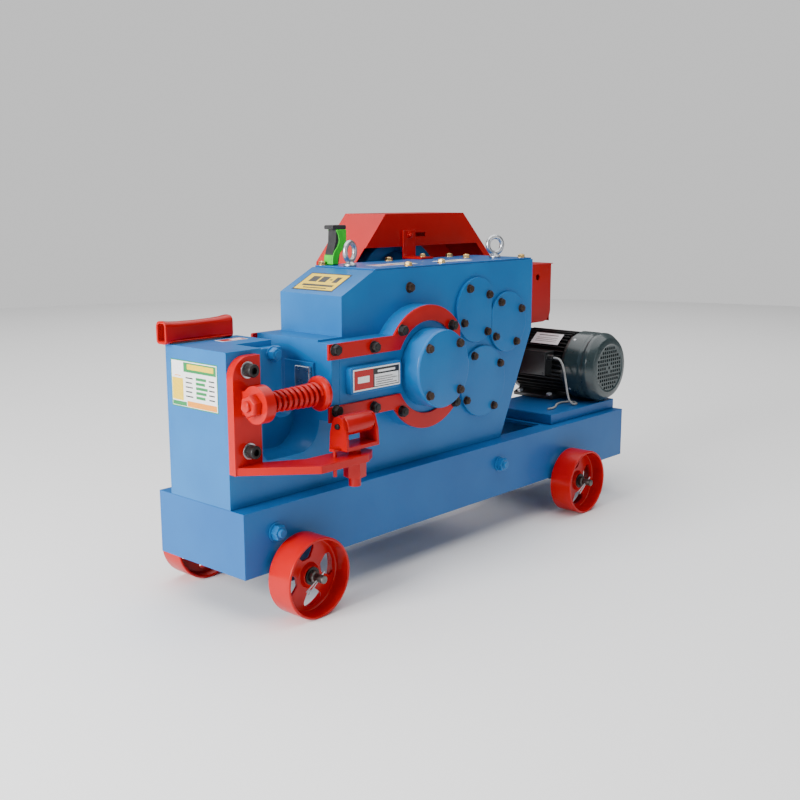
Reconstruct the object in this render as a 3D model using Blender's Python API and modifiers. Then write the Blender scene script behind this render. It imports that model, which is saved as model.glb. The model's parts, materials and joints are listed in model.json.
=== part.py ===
"""Rebar cutter: a cast gear housing on a wheeled frame, driven by an electric motor through V-belts.

The machine is drawn in millimetres from the frame's left front corner at floor level: X runs along the
frame from the cutting throat to the motor, Y runs back from the operator's side, Z runs up.
One empty moves all of it so that the world origin is under the middle of the whole machine.
"""

import math

import bmesh
import bpy
from mathutils import Matrix, Vector

MM = 0.001
GAP = 0.3  # between pieces that touch

# Frame and wheels
FRAME_LENGTH, FRAME_WIDTH = 1440, 280
FRAME_BOTTOM, FRAME_TOP, FRAME_PLATE, FRAME_FLANGE = 100, 237, 8, 50
AXLE_XS = {"left": 136, "right": 1143}
AXLE_Z = WHEEL_RADIUS = 86
AXLE_RADIUS, AXLE_END = 12, 86
WHEEL_WIDTH, WHEEL_INNER_FACE = 64, 10
TIE_BOLT_XS, TIE_BOLT_Z = {"left": 84, "right": 840}, 183

# Housing
BODY_FRONT, BODY_BACK = 40, 237
BLOCK_TOP, HOOD_TOP = 557, 694
THROAT_LEFT, THROAT_RIGHT, THROAT_FLOOR = 188, 247, 385
POCKET_LEFT, POCKET_BACK, POCKET_FLOOR = 90, 121, 322
HOOD_LEFT, HOOD_SHOULDER, HOOD_CHAMFER = 318, 644, 418
HOOD_RIGHT, HOOD_KNEE, HOOD_FOOT = 1024, 512, 894
WALL = 12
WALL_FRONT, WALL_BACK = BODY_FRONT + WALL, BODY_BACK - WALL
PAD_FRONT, PAD_LEFT, PAD_RIGHT = 0, 234, 668

# Gear train: module, pinion teeth, wheel teeth, direction from the slower shaft to the faster one
CRANK = (552, 469)
STROKE = 34
SLOW_STAGE = (6, 24, 65, math.radians(-15.4))
MIDDLE_STAGE = (5, 19, 51, math.radians(54.6))
FAST_STAGE = (4, 18, 49, math.radians(162.6))

# Belt drive and motor
MOTOR = (1382, 365)
MOTOR_RADIUS, FAN_COVER_RADIUS = 96, 100
MOTOR_FRONT, MOTOR_BACK = 12, 332
FLYWHEEL_RADIUS, FLYWHEEL_RIM, FLYWHEEL_GROOVE = 170, 164.5, 155
PULLEY_RIM, PULLEY_GROOVE = 44, 34
BELT_HEIGHT, BELT_WIDTH, BELT_BAND = 14, 11, 2.2
BELT_YS = (354, 374)

# Bar support and press, on the bracket in front of the throat
ARM_FRONT = -92
PRESS_Y, PRESS_Z = -18, 457
FORK_X, FORK_Y, ROLLER_Z = 257, -56, 390

# Guard and handle
GUARD_FRONT, GUARD_BACK, SHEET = 262, 405, 2.5
HANDLE_LEFT, HANDLE_RIGHT = -15, 160

ORIGIN = ((HANDLE_LEFT + MOTOR[0] + FAN_COVER_RADIUS) / 2, (ARM_FRONT + GUARD_BACK) / 2, 0)

BLUE = ((0.045, 0.150, 0.330), 0.35, 0.0)
RED = ((0.620, 0.008, 0.012), 0.35, 0.0)
STEEL = ((0.450, 0.460, 0.470), 0.35, 1.0)
DARK_STEEL = ((0.060, 0.060, 0.065), 0.40, 1.0)
BLACK = ((0.012, 0.013, 0.014), 0.45, 0.0)
MOTOR_GREY = ((0.030, 0.045, 0.048), 0.40, 0.0)
BRONZE = ((0.480, 0.300, 0.110), 0.40, 1.0)
GREEN = ((0.070, 0.520, 0.060), 0.50, 0.0)
RUBBER = ((0.015, 0.015, 0.016), 0.75, 0.0)
GREY_CABLE = ((0.300, 0.300, 0.290), 0.60, 0.0)


# ---------------------------------------------------------------- making tools

def make_scene():
    """Empty the file, and make the two collections and the empty that carries the machine."""
    for old in list(bpy.data.objects):
        bpy.data.objects.remove(old, do_unlink=True)
    for name in ("rebar_cutter", "cutters"):
        bpy.context.scene.collection.children.link(bpy.data.collections.new(name))
    machine = bpy.data.objects.new("machine", None)
    machine.location = Vector(ORIGIN) * -MM
    bpy.data.collections["rebar_cutter"].objects.link(machine)


def material(name, finish):
    colour, roughness, metallic = finish
    made = bpy.data.materials.new(name)
    made.use_nodes = True
    shader = made.node_tree.nodes["Principled BSDF"]
    shader.inputs["Base Color"].default_value = (*colour, 1)
    shader.inputs["Roughness"].default_value = roughness
    shader.inputs["Metallic"].default_value = metallic
    return made


def add(name, mesh, place, finish=None, turn=None):
    """Put a mesh in the machine: a piece if it has a finish, otherwise a cutter."""
    thing = bpy.data.objects.new(name, mesh)
    thing.parent = bpy.data.objects["machine"]
    thing.location = Vector(place) * MM
    if turn is not None:
        thing.rotation_euler = turn
    if finish is None:
        bpy.data.collections["cutters"].objects.link(thing)
        thing.hide_render = True
        thing.display_type = "WIRE"
    else:
        bpy.data.collections["rebar_cutter"].objects.link(thing)
        mesh.materials.clear()
        mesh.materials.append(material(name, finish))
    return thing


def boolean(piece, other, operation):
    step = piece.modifiers.new(operation.lower(), "BOOLEAN")
    step.object = other
    step.operation = operation


def cut(piece, *others):
    for other in others:
        boolean(piece, other, "DIFFERENCE")
    return piece


def join(piece, *others):
    for other in others:
        boolean(piece, other, "UNION")
    return piece


def use_manifold(*names):
    """Pieces whose joined surfaces lie so close together that the exact solver leaves slits."""
    for name in names:
        for step in bpy.data.objects[name].modifiers:
            if step.type == "BOOLEAN":
                step.solver = "MANIFOLD"


def shade(mesh, angle=35):
    mesh.shade_smooth()
    mesh.set_sharp_from_angle(angle=math.radians(angle))


def bevel(piece, width, segments=1, angle=40):
    step = piece.modifiers.new("bevel", "BEVEL")
    step.width = width * MM
    step.segments = segments
    step.limit_method = "ANGLE"
    step.angle_limit = math.radians(angle)
    return piece


def box(name, x, y, z, finish=None):
    """A block between two values on each axis."""
    shape = bmesh.new()
    bmesh.ops.create_cube(shape, size=1)
    size = [(high - low) * MM for low, high in (x, y, z)]
    bmesh.ops.scale(shape, vec=size, verts=shape.verts)
    mesh = bpy.data.meshes.new(name)
    shape.to_mesh(mesh)
    shape.free()
    return add(name, mesh, [(low + high) / 2 for low, high in (x, y, z)], finish)


TURNS = {"X": (0, math.pi / 2, 0), "Y": (-math.pi / 2, 0, 0), "Z": (0, 0, 0)}


def rod(name, radius, start, length, axis, finish=None, sides=16, end_radius=None):
    """A cylinder, or a cone, that runs from its start along an axis."""
    shape = bmesh.new()
    bmesh.ops.create_cone(
        shape, cap_ends=True, segments=sides, radius1=radius * MM,
        radius2=(radius if end_radius is None else end_radius) * MM, depth=length * MM,
        matrix=Matrix.Translation((0, 0, length * MM / 2)),
    )
    mesh = bpy.data.meshes.new(name)
    shape.to_mesh(mesh)
    shape.free()
    shade(mesh)
    return add(name, mesh, start, finish, TURNS[axis])


def turned(name, profile, place, axis, finish=None, steps=24):
    """A lathe piece from (radius, distance along the axis) points that run down its outer side."""
    shape = bmesh.new()
    points = [shape.verts.new((radius * MM, 0, along * MM)) for radius, along in profile]
    hollow = all(radius > 0 for radius, _ in profile)
    for first, second in zip(points, points[1:] + points[:1] if hollow else points[1:]):
        shape.edges.new((first, second))
    mesh = bpy.data.meshes.new(name)
    shape.to_mesh(mesh)
    shape.free()
    piece = add(name, mesh, place, finish, TURNS[axis])
    spin = piece.modifiers.new("turn", "SCREW")
    spin.steps = spin.render_steps = steps
    spin.use_merge_vertices = True
    spin.merge_threshold = 0.00005
    return piece


def ring(name, outer, inner, start, length, place, axis, finish=None, steps=20):
    profile = ((outer, start + length), (outer, start), (inner, start), (inner, start + length))
    return turned(name, profile, place, axis, finish, steps)


def plate(name, outlines, low, high, finish=None, axis="Y"):
    """A flat outline, and the holes after it, as a plate between two values on its axis.

    Outlines are (X, Z) points for a plate across Y, and (X, Y) points for one across Z.
    """
    curve = bpy.data.curves.new(name, "CURVE")
    curve.dimensions = "2D"
    curve.fill_mode = "BOTH"
    curve.extrude = (high - low) / 2 * MM
    for outline in outlines:
        spline = curve.splines.new("POLY")
        spline.points.add(len(outline) - 1)
        for point, (across, up) in zip(spline.points, outline):
            point.co = (across * MM, up * MM, 0, 1)
        spline.use_cyclic_u = True
    drawn = bpy.data.objects.new(name, curve)
    bpy.context.scene.collection.objects.link(drawn)
    mesh = bpy.data.meshes.new_from_object(drawn.evaluated_get(bpy.context.evaluated_depsgraph_get()))
    bpy.data.objects.remove(drawn)
    bpy.data.curves.remove(curve)
    shape = bmesh.new()
    shape.from_mesh(mesh)
    bmesh.ops.remove_doubles(shape, verts=shape.verts, dist=0.000001)
    if axis == "Y":
        bmesh.ops.rotate(shape, verts=shape.verts, matrix=Matrix.Rotation(math.pi / 2, 3, "X"))
    bmesh.ops.recalc_face_normals(shape, faces=shape.faces)
    shape.to_mesh(mesh)
    shape.free()
    middle = (low + high) / 2
    return add(name, mesh, (0, middle, 0) if axis == "Y" else (0, 0, middle), finish)


def arc(centre, radius, start, end, steps):
    """Points on a circle, with its angles in degrees."""
    angles = [math.radians(start + (end - start) * step / steps) for step in range(steps + 1)]
    return [(centre[0] + radius * math.cos(a), centre[1] + radius * math.sin(a)) for a in angles]


def circle(centre, radius, steps=24):
    return arc(centre, radius, 0, 360 - 360 / steps, steps - 1)


def rounded(corners, steps=5):
    """An outline from (x, z, corner radius) points, each corner an arc."""
    outline = []
    for number, (x, z, radius) in enumerate(corners):
        here = Vector((x, z))
        before = (Vector(corners[number - 1][:2]) - here).normalized()
        after = (Vector(corners[(number + 1) % len(corners)][:2]) - here).normalized()
        if radius == 0:
            outline.append((x, z))
            continue
        half = before.angle(after) / 2
        middle = here + (before + after).normalized() * radius / math.sin(half)
        start = here + before * radius / math.tan(half) - middle
        turn = (here + after * radius / math.tan(half) - middle).angle_signed(start)
        for step in range(steps + 1):
            point = middle + Matrix.Rotation(turn * step / steps, 2) @ start
            outline.append((point.x, point.y))
    return outline


def hexagon(centre, across_flats, turn=0):
    """A nut's outline, turned by some degrees."""
    return arc(centre, across_flats / math.sqrt(3), turn, turn + 300, 5)


# ---------------------------------------------------------------- frame and wheels

def base_frame():
    """A welded channel frame: open below between its flanges, with one window under each heavy piece."""
    frame = box("base_frame", (0, FRAME_LENGTH), (0, FRAME_WIDTH), (FRAME_BOTTOM, FRAME_TOP), BLUE)
    for edge, low, high in (
        (FRAME_PLATE, FRAME_BOTTOM + FRAME_PLATE, FRAME_TOP - FRAME_PLATE),
        (FRAME_FLANGE, FRAME_BOTTOM - 1, FRAME_BOTTOM + FRAME_PLATE + 1),
    ):
        cut(frame, box("frame_inside", (edge, FRAME_LENGTH - edge), (edge, FRAME_WIDTH - edge), (low, high)))
    for left, right in ((170, 800), (915, 1095), (1150, 1400)):
        cut(frame, box("frame_window", (left, right), (55, 225), (FRAME_TOP - 20, FRAME_TOP + 1)))
    for x in AXLE_XS.values():
        for y in (9, FRAME_WIDTH - 9):
            saddle = [(x - 45, 102), (x - 20, 66), (x + 20, 66), (x + 45, 102)]
            join(frame, plate("axle_saddle", [saddle], y - 9, y + 9))
        cut(frame, rod("axle_seat", AXLE_RADIUS + GAP, (x, -1, AXLE_Z), FRAME_WIDTH + 2, "Y"))
    for x in TIE_BOLT_XS.values():
        cut(frame, rod("tie_hole", 10.5, (x, -1, TIE_BOLT_Z), FRAME_WIDTH + 2, "Y", sides=16))


def axles_and_bolts():
    for side, x in AXLE_XS.items():
        rod(f"{side}_axle", AXLE_RADIUS, (x, -AXLE_END, AXLE_Z), FRAME_WIDTH + 2 * AXLE_END, "Y", DARK_STEEL)
    for side, x in TIE_BOLT_XS.items():
        bolt = rod(f"{side}_tie_bolt", 10, (x, -22, TIE_BOLT_Z), FRAME_WIDTH + 44, "Y", STEEL, sides=16)
        for low, high in ((-16 - GAP, -GAP), (FRAME_WIDTH + GAP, FRAME_WIDTH + 16 + GAP)):
            join(bolt, plate("tie_nut", [hexagon((x, TIE_BOLT_Z), 30)], low, high))


def wheel_profile():
    """Rim, web and hub of a wheel, from its front edge, with the axle along Z."""
    half = WHEEL_WIDTH / 2
    web = -6  # the web sits nearer the frame than the middle of the rim
    return (
        (WHEEL_RADIUS, half), (WHEEL_RADIUS, -half), (80, -half), (78, web - 3), (24, web - 3),
        (22, -26), (13.6, -26), (13.6, 14), (22, 14), (24, web + 3), (78, web + 3), (80, half),
    )


def wheels():
    """Four pressed wheels, each with four openings in its web and its front face turned outwards."""
    places = {
        "front_left": (AXLE_XS["left"], False), "front_right": (AXLE_XS["right"], False),
        "rear_left": (AXLE_XS["left"], True), "rear_right": (AXLE_XS["right"], True),
    }
    inner = WHEEL_INNER_FACE + WHEEL_WIDTH / 2
    for name, (x, rear) in places.items():
        y = FRAME_WIDTH + inner if rear else -inner
        wheel = turned(f"{name}_wheel", wheel_profile(), (x, y, AXLE_Z), "Y", RED, 20)
        wheel.rotation_euler = (-math.pi / 2 if rear else math.pi / 2, 0, 0)
        for turn in (10, 100, 190, 280):
            opening = arc((0, 0), 68, turn - 26, turn + 26, 3) + arc((0, 0), 36, turn + 12, turn - 12, 1)
            spot = [(x + across, AXLE_Z + up) for across, up in opening]
            cut(wheel, plate("web_opening", [spot], y - 12, y + 12))


# ---------------------------------------------------------------- housing

def flange_outline(arm, radius, left, right):
    """Two straight arms that run into a circle round the crank, cut off square at both ends."""
    x, z = CRANK
    meet = math.degrees(math.asin(arm / radius))
    cut_off = math.degrees(math.acos(min(1, (right - x) / radius)))
    top = arc(CRANK, radius, 180 - meet, cut_off, 12)
    bottom = arc(CRANK, radius, -cut_off, meet - 180, 12)
    return [(left, z + arm), *top, *bottom, (left, z - arm)]


def housing():
    """The one-piece casting: anvil block, open throat, ram tunnel and gear chamber."""
    side = [
        (0, FRAME_TOP + GAP), (0, BLOCK_TOP), (HOOD_LEFT, BLOCK_TOP), (HOOD_LEFT, HOOD_SHOULDER),
        (HOOD_CHAMFER, HOOD_TOP), (HOOD_RIGHT, HOOD_TOP), (HOOD_RIGHT, HOOD_KNEE),
        (HOOD_FOOT, FRAME_TOP + GAP),
    ]
    body = plate("gearbox_housing", [side], BODY_FRONT, BODY_BACK, BLUE)
    pad = flange_outline(83.5, 143, PAD_LEFT, PAD_RIGHT)
    join(body, plate("pad", [pad], PAD_FRONT, BODY_FRONT + 5))
    slot = rounded([
        (THROAT_LEFT, BLOCK_TOP + 5, 0), (THROAT_LEFT, THROAT_FLOOR, 24),
        (THROAT_RIGHT, THROAT_FLOOR, 24), (THROAT_RIGHT, BLOCK_TOP + 5, 0),
    ])
    pocket = rounded([
        (POCKET_LEFT, BLOCK_TOP + 5, 0), (POCKET_LEFT, POCKET_FLOOR, 18),
        (THROAT_RIGHT, POCKET_FLOOR, 62), (THROAT_RIGHT, BLOCK_TOP + 5, 0),
    ], 7)
    cut(body, plate("throat", [slot], POCKET_BACK - 5, BODY_BACK + 5))
    cut(body, plate("pocket", [pocket], PAD_FRONT - 5, POCKET_BACK))
    chamber = [
        (330, 262), (330, HOOD_SHOULDER - 8), (424, HOOD_TOP - WALL), (1014, HOOD_TOP - WALL),
        (1014, HOOD_KNEE + 2), (896, 262),
    ]
    cut(body, plate("chamber", [chamber], WALL_FRONT, WALL_BACK))
    cut(body, box("top_opening", (450, 990), (70, 207), (HOOD_TOP - WALL - 3, HOOD_TOP + 1)))
    cut(body, box("ram_tunnel", (THROAT_RIGHT - 2, 446), (49, 142), (410, 509)))
    rebate = flange_outline(57, 115, 270, PAD_RIGHT - 1)
    cut(body, plate("cover_rebate", [rebate], PAD_FRONT - 1, 12))
    opening = flange_outline(46, 100, 330, 640)
    cut(body, plate("crank_opening", [opening], 11, WALL_FRONT + 1))
    bore_back_of_housing(body)


def bore_back_of_housing(body):
    """Bearing bosses inside the rear wall and the bores of all four shafts."""
    shafts = {"crank": (CRANK, 46), **{name: (centre, 33) for name, centre in shaft_centres().items()}}
    for name, (centre, radius) in shafts.items():
        place = (centre[0], 0, centre[1])
        if name != "crank":
            cut(body, rod("front_bore", radius, (centre[0], BODY_FRONT - 1, centre[1]), 22, "Y"))
        join(body, ring("back_boss", radius + 11, radius - 3, WALL_BACK - 7, 15, place, "Y"))
        cut(body, rod("back_bore", radius, (centre[0], WALL_BACK - 9, centre[1]), 30, "Y"))


def shaft_centres():
    """Where the three geared shafts stand, each one gear pair away from the one before."""
    centres = {}
    here = CRANK
    for name, (module, pinion, wheel, angle) in (
        ("third", SLOW_STAGE), ("second", MIDDLE_STAGE), ("input", FAST_STAGE),
    ):
        reach = module * (pinion + wheel) / 2
        here = (here[0] + reach * math.cos(angle), here[1] + reach * math.sin(angle))
        centres[name] = here
    return centres


def covers():
    """Everything bolted over the housing's openings."""
    top = [(426, BODY_FRONT + 2), (426, BODY_BACK - 2), (1020, BODY_BACK - 2), (1020, BODY_FRONT + 2)]
    plate("top_cover", [top], HOOD_TOP + GAP, HOOD_TOP + 4, BLUE, "Z")
    outer = flange_outline(83.5, 143, PAD_LEFT, PAD_RIGHT)
    flange = plate("cover_flange", [outer], PAD_FRONT - 6, PAD_FRONT - GAP, RED)
    inner = flange_outline(49.5, 107, PAD_LEFT - 5, 660)
    cut(flange, plate("flange_inside", [inner], PAD_FRONT - 9, PAD_FRONT + 3))
    floor = flange_outline(56.7, 114.7, 270 + GAP, PAD_RIGHT - 1 - GAP)
    cover = plate("ram_cover", [floor, circle(CRANK, 70)], PAD_FRONT, 11.7, BLUE)
    raised = rounded([(290, 438, 6), (456, 438, 0), (456, 498, 0), (290, 498, 6)], 3)
    join(cover, plate("raised_box", [raised], PAD_FRONT - 14, PAD_FRONT + 2))
    cap = [(90, 0), (90, 50), (86, 55)]
    drum = [(0.0, 55), *reversed(cap), (68.5, 0), (68.5, -14), (45, -14), (45, 34), (0.0, 34)]
    turned("crank_cap", drum, (CRANK[0], PAD_FRONT - GAP, CRANK[1]), "Y", BLUE, 28).rotation_euler = (
        math.pi / 2, 0, 0)
    shafts = shaft_centres()
    split = (shafts["input"][0] + shafts["second"][0]) / 2 - 6
    for name, shaft, radius, side in (
        ("upper_shaft_cover", "input", 80, -1), ("outer_shaft_cover", "second", 77, 1),
        ("lower_shaft_cover", "third", 90, 0),
    ):
        disc = plate(name, [circle(shafts[shaft], radius, 32)], BODY_FRONT - 8, BODY_FRONT - GAP, BLUE)
        if side:
            away = (split, split + 200) if side < 0 else (split - 200, split + 1)
            cut(disc, box("cover_split", away, (20, 50), (400, 760)))
    rear_cover(shafts)


def rear_cover(shafts):
    """One flat plate over all the rear bores; only the input shaft comes out through it."""
    (crank_x, crank_z), (third_x, third_z) = CRANK, shafts["third"]
    outline = rounded([
        (crank_x - 64, crank_z - 64, 40), (third_x - 40, third_z - 50, 40), (third_x + 50, third_z - 50, 40),
        (972, 520, 40), (972, 600, 50), (shafts["input"][0], 640, 50), (crank_x - 64, crank_z + 64, 40),
    ], 4)
    hole = circle(shafts["input"], 24, 24)
    plate("rear_bearing_cover", [outline, hole], BODY_BACK + GAP, BODY_BACK + 8, BLUE)


def lifting_eyes():
    """Two forged eye bolts on the hood: a collar with the ring standing on it."""
    for name, x, y, turn in (("left", 447, 141, 14), ("right", 944, 104, -22)):
        bottom = HOOD_TOP + 4 + GAP
        eye = rod(f"{name}_lifting_eye", 15, (x, y, bottom), 9, "Z", STEEL, end_radius=11)
        bpy.ops.mesh.primitive_torus_add(
            major_segments=16, minor_segments=8, major_radius=21 * MM, minor_radius=6 * MM)
        made = bpy.context.object
        mesh = made.data
        bpy.data.objects.remove(made)
        loop = add("eye_ring", mesh, (x, y, bottom + 33), None, (math.pi / 2, 0, math.radians(turn)))
        join(eye, loop)


# ---------------------------------------------------------------- crank, rod and ram

def crankshaft():
    """Journals on the crank's axis with the eccentric pin between two webs, drawn towards the motor."""
    x, z = CRANK
    profile = (
        (0, 236), (30, 236), (30, 214), (36, 214), (36, 127), (56, 127), (56, 118), (28, 118),
        (28, 74), (56, 74), (56, 65), (30, 65), (30, -32), (0, -32),
    )
    shaft = turned("crankshaft", profile, (x, 0, z), "Y", STEEL)
    join(shaft, rod("eccentric", 32, (x + STROKE / 2, 70, z), 52, "Y", sides=32))
    for name, start, length in (("front_crank_bush", -33, 46), ("rear_crank_bush", 219, 17)):
        ring(name, 44, 30 + GAP, start, length, (x, 0, z), "Y", BRONZE, 24)


def ram_and_rod():
    """The ram slides in its tunnel; the rod's big end is a window with room for every crank angle."""
    ram = box("ram", (240, 440), (49.5, 141.5), (410.5, 508.5), STEEL)
    cut(ram, box("rod_slot", (370, 445), (74.7, 116.3), (400, 520)))
    cut(ram, rod("ram_pin_bore", 14.3, (408, 40, CRANK[1]), 120, "Y", sides=20))
    rod("ram_pin", 13.8, (408, 51, CRANK[1]), 89, "Y", STEEL, sides=20)
    outer = rounded([
        (382, 441, 24), (462, 441, 14), (478, 385, 20), (658, 385, 40), (658, 553, 40), (478, 553, 20),
        (462, 497, 14), (382, 497, 24),
    ], 3)
    window = rounded([(498, 401, 32), (640, 401, 32), (640, 537, 32), (498, 537, 32)], 4)
    plate("connecting_rod", [outer, window, circle((408, CRANK[1]), 14.2, 20)], 75, 116, STEEL)


def blades():
    """A fixed blade bolted on the shoulder behind the moving one, so that they pass like scissors."""
    fixed = plate("fixed_blade", [[(112, 432), (112, 545), (196, 545), (196, 432)]], 98.3, 120.7, STEEL)
    bevel(fixed, 2)
    moving = box("moving_blade", (238 - 8, 239.7), (52, 97), (425, 500), STEEL)
    bevel(moving, 1.5)


# ---------------------------------------------------------------- gears

def gear(name, teeth, module, centre, low, high, tooth_at, bore=None, finish=STEEL):
    """A spur gear with a tooth centred on the given angle; its teeth are slim enough for backlash."""
    pitch = teeth * module / 2
    outline = []
    for tooth in range(teeth):
        middle = tooth_at + 2 * math.pi * tooth / teeth
        for radius, half in ((pitch - 1.2 * module, 1.10), (pitch + 0.95 * module, 0.34)):
            outline.append((radius, middle - half * module / pitch))
        for radius, half in ((pitch + 0.95 * module, 0.34), (pitch - 1.2 * module, 1.10)):
            outline.append((radius, middle + half * module / pitch))
    points = [(centre[0] + r * math.cos(a), centre[1] + r * math.sin(a)) for r, a in outline]
    holes = [circle(centre, bore, 24)] if bore else []
    return plate(name, [points, *holes], low, high, finish)


def gears_and_shafts():
    """Three reductions between the input shaft and the crank."""
    centres = {"crank": CRANK, **shaft_centres()}
    stages = (
        ("bull_gear", "crank", "third", SLOW_STAGE, (146, 206), (143, 209), 36 + GAP),
        ("third_gear", "third", "second", MIDDLE_STAGE, (66, 106), (64, 108), 28 + GAP),
        ("second_gear", "second", "input", FAST_STAGE, (112, 139), (110, 141), 24 + GAP),
    )
    ends = {"third": (28, 46, 236), "second": (24, 46, 236), "input": (20, 44, 392)}
    for wheel_name, slow, fast, (module, pinion, wheel, angle), wheel_y, pinion_y, bore in stages:
        gear(wheel_name, wheel, module, centres[slow], *wheel_y, angle, bore)
        radius, start, end = ends[fast]
        x, z = centres[fast]
        shaft = rod(f"{fast}_shaft", radius, (x, start, z), end - start, "Y", STEEL)
        gap_first = angle + math.pi - math.pi / pinion
        join(shaft, gear(f"{fast}_pinion", pinion, module, centres[fast], *pinion_y, gap_first, None, None))
    x, z = centres["input"]
    for name, start in (("front_input_bearing", 45), ("rear_input_bearing", 219)):
        ring(name, 33 - GAP, 20.7, start, 15, (x, 0, z), "Y", DARK_STEEL, 16)


# ---------------------------------------------------------------- belt drive and motor

def grooved_rim(radius, groove):
    """The outer side of a pulley with a groove for each belt, from its back edge to its front edge."""
    rim = [(radius, 388)]
    for middle in reversed(BELT_YS):
        half = BELT_WIDTH / 2 + 1
        rim += [(radius, middle + half), (groove, middle + half - 0.6), (groove, middle - half + 0.6),
                (radius, middle - half)]
    return rim


def belt_drive():
    """Flywheel on the input shaft, small pulley on the motor, and a twin belt round them."""
    big, small = shaft_centres()["input"], MOTOR
    flywheel = [
        *grooved_rim(FLYWHEEL_RIM, FLYWHEEL_GROOVE), (FLYWHEEL_RADIUS, 340), (FLYWHEEL_RADIUS, 292),
        (138, 292), (138, 330), (42, 330), (42, 300), (20 + GAP, 300), (20 + GAP, 386), (42, 386),
        (42, 352), (138, 352), (138, 388),
    ]
    turned("flywheel", flywheel, (big[0], 0, big[1]), "Y", BLUE, 28)
    pulley = [*grooved_rim(PULLEY_RIM, PULLEY_GROOVE), (PULLEY_RIM, 338), (14 + GAP, 338), (14 + GAP, 388)]
    turned("motor_pulley", pulley, (small[0], 0, small[1]), "Y", DARK_STEEL, 20)
    def loops(low, high):
        return [belt_loop(big, FLYWHEEL_GROOVE + lift, small, PULLEY_GROOVE + lift) for lift in (high, low)]

    first, second = BELT_YS
    half = BELT_WIDTH / 2
    belt = plate("v_belt", loops(BELT_HEIGHT - BELT_BAND, BELT_HEIGHT), first - half, second + half, RUBBER)
    for middle in BELT_YS:
        join(belt, plate("belt_rib", loops(1.8, BELT_HEIGHT - 1), middle - half, middle + half))


def belt_loop(big, big_radius, small, small_radius):
    """The open-belt path round two circles."""
    reach = Vector((small[0] - big[0], small[1] - big[1]))
    along = math.degrees(math.atan2(reach.y, reach.x))
    lean = math.degrees(math.acos((big_radius - small_radius) / reach.length))
    return (arc(big, big_radius, along + lean, along + 360 - lean, 16)
            + arc(small, small_radius, along - lean, along + lean, 8))


def motor():
    """Frame with its feet, rotor on its shaft, fan and fan cover, terminal box and rail."""
    x, z = MOTOR
    place = (x, 0, z)
    frame = turned("motor_frame", (
        (14 + 1, MOTOR_BACK), (40, MOTOR_BACK), (44, 318), (88, 310), (MOTOR_RADIUS, 300), (MOTOR_RADIUS, 112),
        (88, 104), (40, 100), (14 + 1, 100), (14 + 1, 112), (66, 112), (66, 300), (14 + 1, 300),
    ), place, "Y", BLACK, 28)
    feet = [(x - 88, 265 + GAP), (x + 88, 265 + GAP), (x + 88, 275), (x + 62, 300), (x - 62, 300), (x - 88, 275)]
    join(frame, plate("motor_feet", [feet], 150, 290))
    rotor = [(0, 391), (14, 391), (14, 262), (56, 262), (56, 150), (14, 150), (14, 52), (0, 52)]
    turned("motor_rotor", rotor, place, "Y", STEEL, 16)
    fan = rod("motor_fan", 24, (x, 55, z), 30, "Y", BLACK)
    for blade in range(6):
        turn = 2 * math.pi * blade / 6
        tips = [(20, -2), (78, -2), (78, 2), (20, 2)]
        shape = [(x + u * math.cos(turn) - v * math.sin(turn), z + u * math.sin(turn) + v * math.cos(turn))
                 for u, v in tips]
        join(fan, plate("fan_blade", [shape], 56, 84))
    cut(fan, rod("fan_bore", 14 + GAP, (x, 50, z), 45, "Y"))
    cover = FAN_COVER_RADIUS
    turned("fan_cover", (
        (cover, 106), (cover, 20), (93, MOTOR_FRONT), (8, MOTOR_FRONT), (8, 14), (92, 14),
        (98, 21), (98, 106),
    ), place, "Y", MOTOR_GREY, 28)
    case = box("terminal_box", (1250, 1299), (148, 232), (346, 412), BLACK)
    cut(case, rod("motor_side", MOTOR_RADIUS + GAP, (x, 100, z), 160, "Y", sides=28))
    join(case, rod("gland", 8, (1266, 130, 396), 20, "Y", sides=16))
    rail = box("motor_rail", (1110, 1436), (28, 262), (FRAME_TOP + GAP, 265), BLUE)
    cut(rail, box("rail_inside", (1116, 1430), (34, 256), (FRAME_TOP - 1, 259)))


LEAD_ROUTE = (
    (1266, 129.5, 396), (1266, 121, 396), (1266, 112, 394), (1265.5, 104, 388), (1265, 97, 377), (1264, 91, 361),
    (1263, 86, 342), (1262, 81, 321), (1261, 76.5, 302), (1260, 71, 286), (1260, 64.5, 275), (1263, 58.5, 269.8),
    (1270, 55.5, 268.4), (1280, 57, 268.4), (1289, 63.5, 268.4), (1294, 74, 268.4), (1292, 86, 268.4),
    (1283, 95, 268.4), (1270, 99, 268.4), (1256, 99, 268.4), (1242, 96, 268.4), (1229, 91, 268.4),
    (1216, 84, 268.4), (1203, 77, 268.4), (1188, 72, 268.4), (1172, 70, 268.4), (1158, 73, 268.4),
)
LEAD_RADIUS, LEAD_POINTS = 3, 30


def smooth_route(guide, count):
    """Evenly spaced points on a smooth curve through the guide points."""
    fine = [guide[0]]
    padded = [guide[0] * 2 - guide[1], *guide, guide[-1] * 2 - guide[-2]]
    for before, start, end, after in zip(padded, padded[1:], padded[2:], padded[3:]):
        for step in range(1, 9):
            t = step / 8
            fine.append(0.5 * (
                2 * start + (end - before) * t + (2 * before - 5 * start + 4 * end - after) * t ** 2
                + (3 * start - before - 3 * end + after) * t ** 3))
    walked = [0.0]
    for start, end in zip(fine, fine[1:]):
        walked.append(walked[-1] + (end - start).length)
    even = []
    for number in range(count):
        target = walked[-1] * number / (count - 1)
        after = next(i for i, reached in enumerate(walked) if reached >= target - 1e-6)
        before = max(after - 1, 0)
        span = walked[after] - walked[before]
        even.append(fine[before].lerp(fine[after], (target - walked[before]) / span if span else 0))
    return even


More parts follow.
